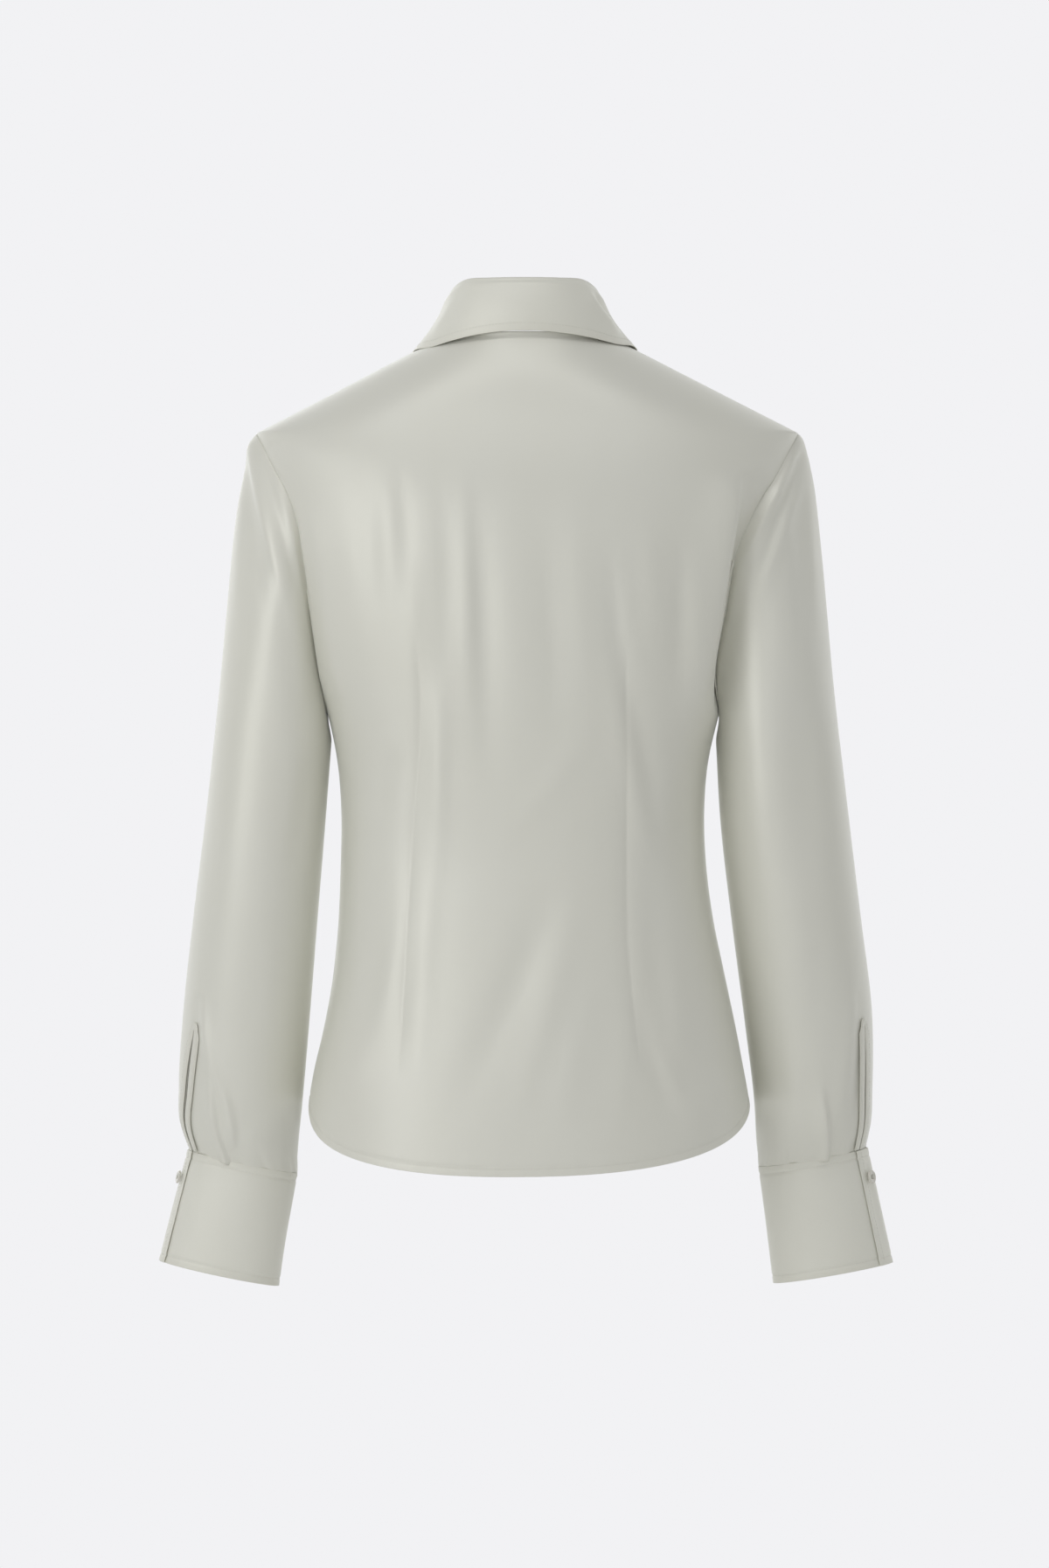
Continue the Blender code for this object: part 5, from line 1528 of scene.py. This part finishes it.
THREAD_BARS = ((45, 225), (135, 315))
THREAD_SIDES, THREAD_STEPS = 6, 7
THREAD_THICK = 0.00028
THREAD_RISE, THREAD_ARCH, THREAD_CROSSING = 0.34 * BUTTON_THICKNESS, 0.00045, 0.0002
THREAD_END_DROP = 0.0012


def thread_mesh(radius):
    """The crossed threads that hold a button."""
    points, faces = [], []
    for number, bar in enumerate(THREAD_BARS):
        first, second = (level_way(turn) * HOLE_REACH * radius for turn in bar)
        way = unit(second - first)
        aside = np.array([-way[1], way[0], 0.0])
        for strand in (-1, 1):
            rings = []
            for step in np.linspace(0, 1, THREAD_STEPS):
                rise = THREAD_RISE + THREAD_ARCH * math.sin(math.pi * step) + THREAD_CROSSING * number
                drop = THREAD_END_DROP if step in (0.0, 1.0) else 0.0
                centre = first + (second - first) * step + aside * strand * THREAD_THICK
                centre[2] = rise - drop
                rings.append(oval_ring(centre, aside, np.array([0, 0, 1.0]), THREAD_THICK, THREAD_THICK,
                                       THREAD_SIDES))
            add_tube(points, faces, rings)
    return points, faces


def button_places():
    """Node, point on the cloth and outward direction of every button."""
    places = []
    for number in range(FRONT_BUTTONS):
        spot = FIRST_BUTTON - BUTTON_SPACING * number
        places.append((f"button_front_{number + 1}", body_point(FRONT, 0.0, spot),
                       body_outward(FRONT, BESIDE_CENTRE, spot)))
    places.append(("button_collar", stand_point(CENTRE_TURN, STAND_BUTTON_SHARE), STAND_BUTTON_WAY))
    for side, word in SIDE_WORDS.items():
        cuff = CUFFS[side]
        share = CUFF_BUTTON_DROP / cuff.depth
        turn = 360 + cuff.button_turn
        around = cuff_point(side, turn + 1, share) - cuff_point(side, turn - 1, share)
        down = cuff_point(side, turn, share + 0.05) - cuff_point(side, turn, share - 0.05)
        outward = unit(np.cross(around, down)) * side
        places.append((f"button_cuff_{word}", cuff_point(side, turn, share), outward))
    return places


def make_buttons(settings):
    low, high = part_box("button_front_1")
    radius = (high.x - low.x) / 2
    button = drilled_button("pearl_button", radius)
    button.materials.append(pearl_material(settings))
    thread = None
    for node, point, outward in button_places():
        way = Vector(outward).normalized()
        pearl = placed(bpy.data.objects.new(f"{node}_pearl", button))
        if thread is None:
            tied = mesh_object(f"{node}_thread", *thread_mesh(radius))
            thread = tied.data
            thread.materials.append(thread_material(settings))
        else:
            tied = placed(bpy.data.objects.new(f"{node}_thread", thread))
        for part, slot in ((pearl, "pearl"), (tied, "satin")):
            part.location = Vector(point) + way * (BUTTON_LIFT + BUTTON_THICKNESS / 2)
            part.rotation_mode = "QUATERNION"
            part.rotation_quaternion = way.to_track_quat("Z", "Y")
            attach(part, "root")
        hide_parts(node)


BUTTONHOLE_LENGTH = 0.0125
BUTTONHOLE_HALF_WIDTH = 0.0010
BUTTONHOLE_TURNS = 40
BUTTONHOLE_SQUARENESS = 0.35
BUTTONHOLE_LIFT = 0.0002
BUTTONHOLE_CORD = (0.0004, 0.00025, 5)     # half its width and height, and its sides
BUTTONHOLE_CORD_TURN = 0.3  # how much the cord turns towards the ends


def buttonholes(settings):
    """The worked edges of the buttonholes down the front, each a ring of close thread."""
    points, faces = [], []
    for _, point, outward in button_places()[:FRONT_BUTTONS]:
        out = unit(outward)
        up = unit(np.array([0.0, 0.0, 1.0]) - out * out[2])
        aside = np.cross(up, out)
        rings = []
        for turn in np.linspace(0, 2 * math.pi, BUTTONHOLE_TURNS, endpoint=False):
            share = math.copysign(abs(math.sin(turn)) ** BUTTONHOLE_SQUARENESS, math.sin(turn))
            long = share * BUTTONHOLE_LENGTH / 2
            wide = math.cos(turn) * BUTTONHOLE_HALF_WIDTH
            centre = point + up * long + aside * wide + out * BUTTONHOLE_LIFT
            across = unit(up * long * BUTTONHOLE_CORD_TURN + aside * wide)
            rings.append(oval_ring(centre, across, out, *BUTTONHOLE_CORD))
        add_tube(points, faces, rings, closed=True)
    finish_thread(mesh_object("front_buttonholes", points, faces), settings)


# ---- materials

def group_sockets(group, inputs, outputs):
    for name, kind, value in inputs:
        socket = group.interface.new_socket(name, in_out="INPUT", socket_type=kind)
        if value is not None:
            socket.default_value = value
    for name, kind in outputs:
        group.interface.new_socket(name, in_out="OUTPUT", socket_type=kind)


class NodeSheet:
    """Adds nodes to a tree and joins them, with few words."""

    def __init__(self, tree):
        self.tree = tree

    def add(self, kind, **values):
        node = self.tree.nodes.new(kind)
        for name, value in values.items():
            setattr(node, name, value)
        return node

    def join(self, source, target):
        self.tree.links.new(source, target)

    def fill(self, sockets, values):
        """Sets each socket to its number, or joins it to its source."""
        for socket, value in zip(sockets, values):
            if isinstance(value, (int, float)):
                socket.default_value = value
            else:
                self.join(value, socket)

    def maths(self, operation, *values, clamp=False):
        node = self.add("ShaderNodeMath", operation=operation, use_clamp=clamp)
        self.fill(node.inputs, values)
        return node.outputs[0]

    def times(self, first, second):
        return self.maths("MULTIPLY", first, second)

    def plus(self, first, second, clamp=False):
        return self.maths("ADD", first, second, clamp=clamp)

    def noise(self, vector, scale, detail=2.0, roughness=0.5):
        """Noise over a vector that is stretched by the scale."""
        stretch = self.add("ShaderNodeVectorMath", operation="MULTIPLY")
        self.join(vector, stretch.inputs[0])
        stretch.inputs[1].default_value = scale
        node = self.add("ShaderNodeTexNoise")
        self.fill([node.inputs[name] for name in ("Scale", "Detail", "Roughness", "Vector")],
                  (1.0, detail, roughness, stretch.outputs[0]))
        return node.outputs["Fac"]

    def place(self):
        """Where a point lies on its object."""
        return self.add("ShaderNodeTexCoord").outputs["Object"]

    def colour(self, parts, share=1.0):
        node = self.add("ShaderNodeRGB")
        node.outputs[0].default_value = (*(share * part for part in parts), 1.0)
        return node.outputs[0]

    def mixed(self, share, first, second):
        node = self.add("ShaderNodeMix", data_type="RGBA")
        self.fill([node.inputs[name] for name in ("Factor", "A", "B")], (share, first, second))
        return node.outputs["Result"]

    def ramp(self, value, *stops):
        """A colour for each value, from two stops of place and colour."""
        node = self.add("ShaderNodeValToRGB")
        for element, (place, parts) in zip(node.color_ramp.elements, stops):
            element.position = place
            element.color = (*parts, 1.0)
        self.join(value, node.inputs["Fac"])
        return node

    def bump(self, height, distance, shader):
        node = self.add("ShaderNodeBump")
        node.inputs["Strength"].default_value = 1.0
        node.inputs["Distance"].default_value = distance
        self.join(height, node.inputs["Height"])
        self.join(node.outputs["Normal"], shader.inputs["Normal"])


def satin_weave_group():
    """Satin weave: long warp threads, a few thicker ones, soft changes of colour and puckers along seams."""
    group = bpy.data.node_groups.get("Satin weave")
    if group:
        return group
    group = bpy.data.node_groups.new("Satin weave", "ShaderNodeTree")
    group_sockets(
        group,
        [("Cloth", "NodeSocketVector", None), ("Place", "NodeSocketVector", None),
         ("Colour", "NodeSocketColor", (0.63, 0.63, 0.565, 1.0)),
         ("Shade", "NodeSocketColor", (0.56, 0.555, 0.48, 1.0)),
         ("Roughness", "NodeSocketFloat", 0.4), ("Weave", "NodeSocketFloat", 1.0),
         ("Pucker", "NodeSocketFloat", 1.0)],
        [("Colour", "NodeSocketColor"), ("Roughness", "NodeSocketFloat"), ("Height", "NodeSocketFloat")])
    sheet = NodeSheet(group)
    given = sheet.add("NodeGroupInput").outputs
    made = sheet.add("NodeGroupOutput").inputs
    threads = sheet.noise(given["Cloth"], (4200.0, 620.0, 0.0), 1.0)
    slubs = sheet.noise(given["Cloth"], (420.0, 24.0, 0.0))
    drift = sheet.noise(given["Place"], (9.0, 9.0, 5.0), 3.0, 0.55)
    waves = sheet.noise(given["Place"], (130.0, 130.0, 130.0), 1.0)
    part = sheet.add("ShaderNodeSeparateXYZ")
    sheet.join(given["Cloth"], part.inputs[0])
    near_seam = sheet.maths("EXPONENT", sheet.times(part.outputs["Z"], -220.0))
    warmth = sheet.plus(sheet.times(drift, 0.7), sheet.times(threads, 0.25))
    warmth = sheet.plus(sheet.maths("SUBTRACT", warmth, 0.25), sheet.times(near_seam, 0.25), clamp=True)
    sheet.join(sheet.mixed(warmth, given["Colour"], given["Shade"]), made["Colour"])
    rough = sheet.maths("SUBTRACT", sheet.plus(sheet.times(drift, 0.08), sheet.times(slubs, 0.05)), 0.065)
    sheet.join(sheet.plus(given["Roughness"], rough), made["Roughness"])
    weave = sheet.plus(sheet.times(threads, 0.000012), sheet.times(slubs, 0.000030))
    weave = sheet.times(weave, given["Weave"])
    pucker = sheet.times(sheet.times(waves, near_seam), sheet.times(given["Pucker"], 0.0005))
    sheet.join(sheet.plus(weave, pucker), made["Height"])
    return group


SATIN_LUSTRE = 0.18


def set_inputs(node, values):
    """Sets a node's sockets, by name."""
    for name, value in values.items():
        node.inputs[name].default_value = value


def base_material(name, roughness, **values):
    """A new material, its shader and a sheet of its nodes. In the names of values, _ stands for a space."""
    material = bpy.data.materials.new(name)
    material.use_nodes = True
    shader = material.node_tree.nodes["Principled BSDF"]
    set_inputs(shader, {"Roughness": roughness, **{key.replace("_", " "): values[key] for key in values}})
    return material, shader, NodeSheet(material.node_tree)


def woven_material(name, settings, weave, pucker, roughness, sheen, lightness=1.0):
    """A satin whose threads follow the cloth."""
    material, shader, sheet = base_material(
        name, roughness, Metallic=SATIN_LUSTRE, Sheen_Weight=sheen, Sheen_Roughness=0.35,
        Sheen_Tint=(0.96, 0.98, 0.95, 1.0), Coat_Weight=0.14, Coat_Roughness=0.30, Specular_IOR_Level=0.55)
    group = sheet.add("ShaderNodeGroup", node_tree=satin_weave_group())
    cloth = sheet.add("ShaderNodeAttribute", attribute_name="cloth")
    sheet.join(cloth.outputs["Vector"], group.inputs["Cloth"])
    sheet.join(sheet.place(), group.inputs["Place"])
    set_inputs(group, {"Colour": (*(part * lightness for part in settings.satin_colour), 1.0),
                       "Shade": (*settings.satin_shade, 1.0), "Roughness": roughness, "Weave": weave,
                       "Pucker": pucker})
    sheet.join(group.outputs["Colour"], shader.inputs["Base Color"])
    sheet.join(group.outputs["Roughness"], shader.inputs["Roughness"])
    sheet.bump(group.outputs["Height"], 1.0, shader)
    return material


def satin_material(settings):
    """Silk satin in one layer."""
    return bpy.data.materials.get("Ivory satin") or woven_material(
        "Ivory satin", settings, 1.0, 1.0, settings.satin_roughness, 0.60)


def interlined_material(settings):
    """Silk satin over interlining: flatter and a little duller."""
    return bpy.data.materials.get("Interlined satin") or woven_material(
        "Interlined satin", settings, 0.8, 0.5, settings.satin_roughness + 0.10, 0.50, 1.08)


def thread_material(settings):
    """Spun silk sewing thread: fine twisted strands."""
    found = bpy.data.materials.get("Silk thread")
    if found:
        return found
    material, shader, sheet = base_material("Silk thread", 0.45, Sheen_Weight=0.15)
    strands = sheet.noise(sheet.place(), (5200.0, 5200.0, 5200.0), 1.0)
    dark, light = (sheet.colour(settings.thread_colour, share) for share in (0.86, 1.0))
    sheet.join(sheet.mixed(strands, dark, light), shader.inputs["Base Color"])
    sheet.bump(strands, 0.00003, shader)
    return material


def pearl_material(settings):
    """Polished mother of pearl: layered bands with faint pink and green."""
    material, shader, sheet = base_material("Pearl button", 0.22, Coat_Weight=0.35, Coat_Roughness=0.12)
    bands = sheet.noise(sheet.place(), (240.0, 420.0, 900.0), 3.0, 0.6)
    tints = sheet.noise(sheet.place(), (150.0, 130.0, 200.0), 1.0)
    green, pink = ([min(part * share, 1.0) for part, share in zip(settings.pearl_colour, shares)]
                   for shares in ((0.90, 0.96, 0.92), (1.08, 1.02, 1.06)))
    tint = sheet.ramp(tints, (0.3, green), (0.7, pink)).outputs["Color"]
    sheet.join(sheet.mixed(bands, tint, sheet.colour(settings.pearl_colour)), shader.inputs["Base Color"])
    sheet.join(sheet.plus(sheet.times(bands, 0.14), 0.13), shader.inputs["Roughness"])
    sheet.bump(bands, 0.00002, shader)
    return material


def floor_material(studio):
    """Pale matt floor with faint clouds."""
    material, shader, sheet = base_material("Studio floor", 0.7)
    clouds = sheet.noise(sheet.place(), (1.5, 1.5, 1.5))
    light, dark = (sheet.colour(studio.floor_colour, share) for share in (1.0, 0.97))
    sheet.join(sheet.mixed(clouds, light, dark), shader.inputs["Base Color"])
    return material


# ---- studio

FLOOR_HEIGHT = -1.15
FLOOR_RADIUS = 2.0
FLOOR_SIDES = 96

Lamp = namedtuple("Lamp", "name power place width height colour")
LAMPS = [Lamp(*row) for row in (
    ("key_light", "key_power", (-1.2, -1.36, 0.05), 1.0, 1.3, (1.0, 1.0, 0.985)),
    ("top_light", "top_power", (-0.3, -1.9, 3.6), 3.4, 0.9, (1.0, 1.0, 0.99)),
    ("fill_light", "fill_power", (-0.4, -5.6, 0.2), 3.0, 3.0, (0.985, 0.99, 1.0)),
    ("front_light", "front_power", (-1.2, 3.4, 0.8), 2.4, 2.0, (1.0, 1.0, 1.0)),
)]
BACKDROP_GLOW = 1.3       # how much more light comes from the backdrop than from the room
LIGHT_AIM = Vector((0.0, 0.0, -0.30))


def make_lamp(lamp, power):
    light = bpy.data.lights.new(lamp.name, "AREA")
    light.shape = "RECTANGLE"
    light.size, light.size_y = lamp.width, lamp.height
    light.energy = power
    light.color = lamp.colour
    obj = placed(bpy.data.objects.new(lamp.name, light))
    obj.location = lamp.place
    obj.rotation_mode = "QUATERNION"
    obj.rotation_quaternion = (LIGHT_AIM - Vector(lamp.place)).to_track_quat("-Z", "Y")


def make_world(scene, studio):
    """Even light all round, with the backdrop's colour where the camera looks past the blouse."""
    world = bpy.data.worlds.new("Studio")
    world.use_nodes = True
    scene.world = world
    sheet = NodeSheet(world.node_tree)
    out, around = (next(node for node in world.node_tree.nodes if node.type == kind)
                   for kind in ("OUTPUT_WORLD", "BACKGROUND"))
    towards = sheet.add("ShaderNodeSeparateXYZ")
    sheet.join(sheet.add("ShaderNodeTexCoord").outputs["Generated"], towards.inputs[0])
    glow = sheet.times(sheet.maths("MAXIMUM", towards.outputs["Y"], 0.0), studio.ambient * BACKDROP_GLOW)
    sheet.join(sheet.plus(glow, studio.ambient), around.inputs["Strength"])
    height = sheet.ramp(towards.outputs["Z"], (0.30, (1.0, 1.0, 0.99)), (0.95, (0.62, 0.62, 0.62)))
    height.color_ramp.interpolation = "EASE"
    sheet.join(height.outputs["Color"], around.inputs["Color"])
    seen = sheet.add("ShaderNodeBackground")
    seen.inputs["Color"].default_value = (*studio.backdrop_colour, 1.0)
    mix = sheet.add("ShaderNodeMixShader")
    path = sheet.add("ShaderNodeLightPath")
    sheet.fill(mix.inputs, (path.outputs["Is Camera Ray"], around.outputs[0], seen.outputs[0]))
    sheet.join(mix.outputs[0], out.inputs["Surface"])


def make_studio(scene, studio):
    turns = np.linspace(0, 2 * math.pi, FLOOR_SIDES, endpoint=False)
    points = vectors(np.cos(turns) * FLOOR_RADIUS, np.sin(turns) * FLOOR_RADIUS, FLOOR_HEIGHT)
    floor = mesh_object("studio_floor", points, [list(range(FLOOR_SIDES))])
    floor.data.materials.append(floor_material(studio))
    for lamp in LAMPS:
        make_lamp(lamp, getattr(studio, lamp.power))
    make_world(scene, studio)
    camera = placed(bpy.data.objects.new("camera", bpy.data.cameras.new("camera")))
    camera.data.lens = studio.camera_lens
    camera.data.sensor_width = 36.0
    camera.data.clip_end = 100.0
    camera.location = (0.0, -studio.camera_distance, studio.camera_height)
    camera.rotation_euler = (math.pi / 2, 0.0, 0.0)
    scene.camera = camera
    scene.view_settings.view_transform = "Standard"


# ---- operators and panel

class MakeBack(bpy.types.Operator):
    """Make the back with its two darts, turned hem and stitches"""
    bl_idname = "silk_blouse.make_back"
    bl_label = "Back"

    def execute(self, context):
        make_back(context.scene.silk_blouse)
        return {"FINISHED"}


class MakeFronts(bpy.types.Operator):
    """Make the two fronts, which lap at the centre, and their buttonholes"""
    bl_idname = "silk_blouse.make_fronts"
    bl_label = "Fronts"

    def execute(self, context):
        make_fronts(context.scene.silk_blouse)
        return {"FINISHED"}


class MakeSleeves(bpy.types.Operator):
    """Make the two sleeves with their creases, slits and pleats"""
    bl_idname = "silk_blouse.make_sleeves"
    bl_label = "Sleeves"

    def execute(self, context):
        make_sleeves(context.scene.silk_blouse)
        return {"FINISHED"}


class MakeCuffs(bpy.types.Operator):
    """Make the two cuffs and the bindings of the slits above them"""
    bl_idname = "silk_blouse.make_cuffs"
    bl_label = "Cuffs and bindings"

    def execute(self, context):
        make_cuffs(context.scene.silk_blouse)
        return {"FINISHED"}


class MakeCollar(bpy.types.Operator):
    """Make the collar's stand and fall"""
    bl_idname = "silk_blouse.make_collar"
    bl_label = "Collar"

    def execute(self, context):
        make_collar(context.scene.silk_blouse)
        return {"FINISHED"}


class MakeButtons(bpy.types.Operator):
    """Make the nine pearl buttons and the threads that hold them"""
    bl_idname = "silk_blouse.make_buttons"
    bl_label = "Buttons"

    def execute(self, context):
        make_buttons(context.scene.silk_blouse)
        return {"FINISHED"}


class MakeStudio(bpy.types.Operator):
    """Make the pale floor, the lights and the camera"""
    bl_idname = "silk_blouse.make_studio"
    bl_label = "Studio"

    def execute(self, context):
        make_studio(context.scene, context.scene.silk_blouse_studio)
        return {"FINISHED"}


class BlousePanel(bpy.types.Panel):
    """Settings and makers of the silk blouse"""
    bl_idname = "VIEW3D_PT_silk_blouse"
    bl_label = "Silk Blouse"
    bl_space_type = "VIEW_3D"
    bl_region_type = "UI"
    bl_category = "Silk Blouse"

    def draw(self, context):
        for settings in (context.scene.silk_blouse, context.scene.silk_blouse_studio):
            box = self.layout.box()
            for name in settings.__annotations__:
                box.prop(settings, name)
        column = self.layout.column(align=True)
        for maker in MAKERS:
            column.operator(maker.bl_idname)


MAKERS = (MakeBack, MakeFronts, MakeSleeves, MakeCuffs, MakeCollar, MakeButtons, MakeStudio)
CLASSES = (BlouseSettings, StudioSettings) + MAKERS + (BlousePanel,)


def register():
    for made in CLASSES:
        bpy.utils.register_class(made)
    bpy.types.Scene.silk_blouse = bpy.props.PointerProperty(type=BlouseSettings)
    bpy.types.Scene.silk_blouse_studio = bpy.props.PointerProperty(type=StudioSettings)


def unregister():
    del bpy.types.Scene.silk_blouse_studio
    del bpy.types.Scene.silk_blouse
    for made in reversed(CLASSES):
        bpy.utils.unregister_class(made)


def main():
    register()
    bpy.ops.silk_blouse.make_back()
    bpy.ops.silk_blouse.make_fronts()
    bpy.ops.silk_blouse.make_sleeves()
    bpy.ops.silk_blouse.make_cuffs()
    bpy.ops.silk_blouse.make_collar()
    bpy.ops.silk_blouse.make_buttons()
    bpy.ops.silk_blouse.make_studio()
    bpy.context.view_layer.update()


if __name__ == "__main__":
    main()
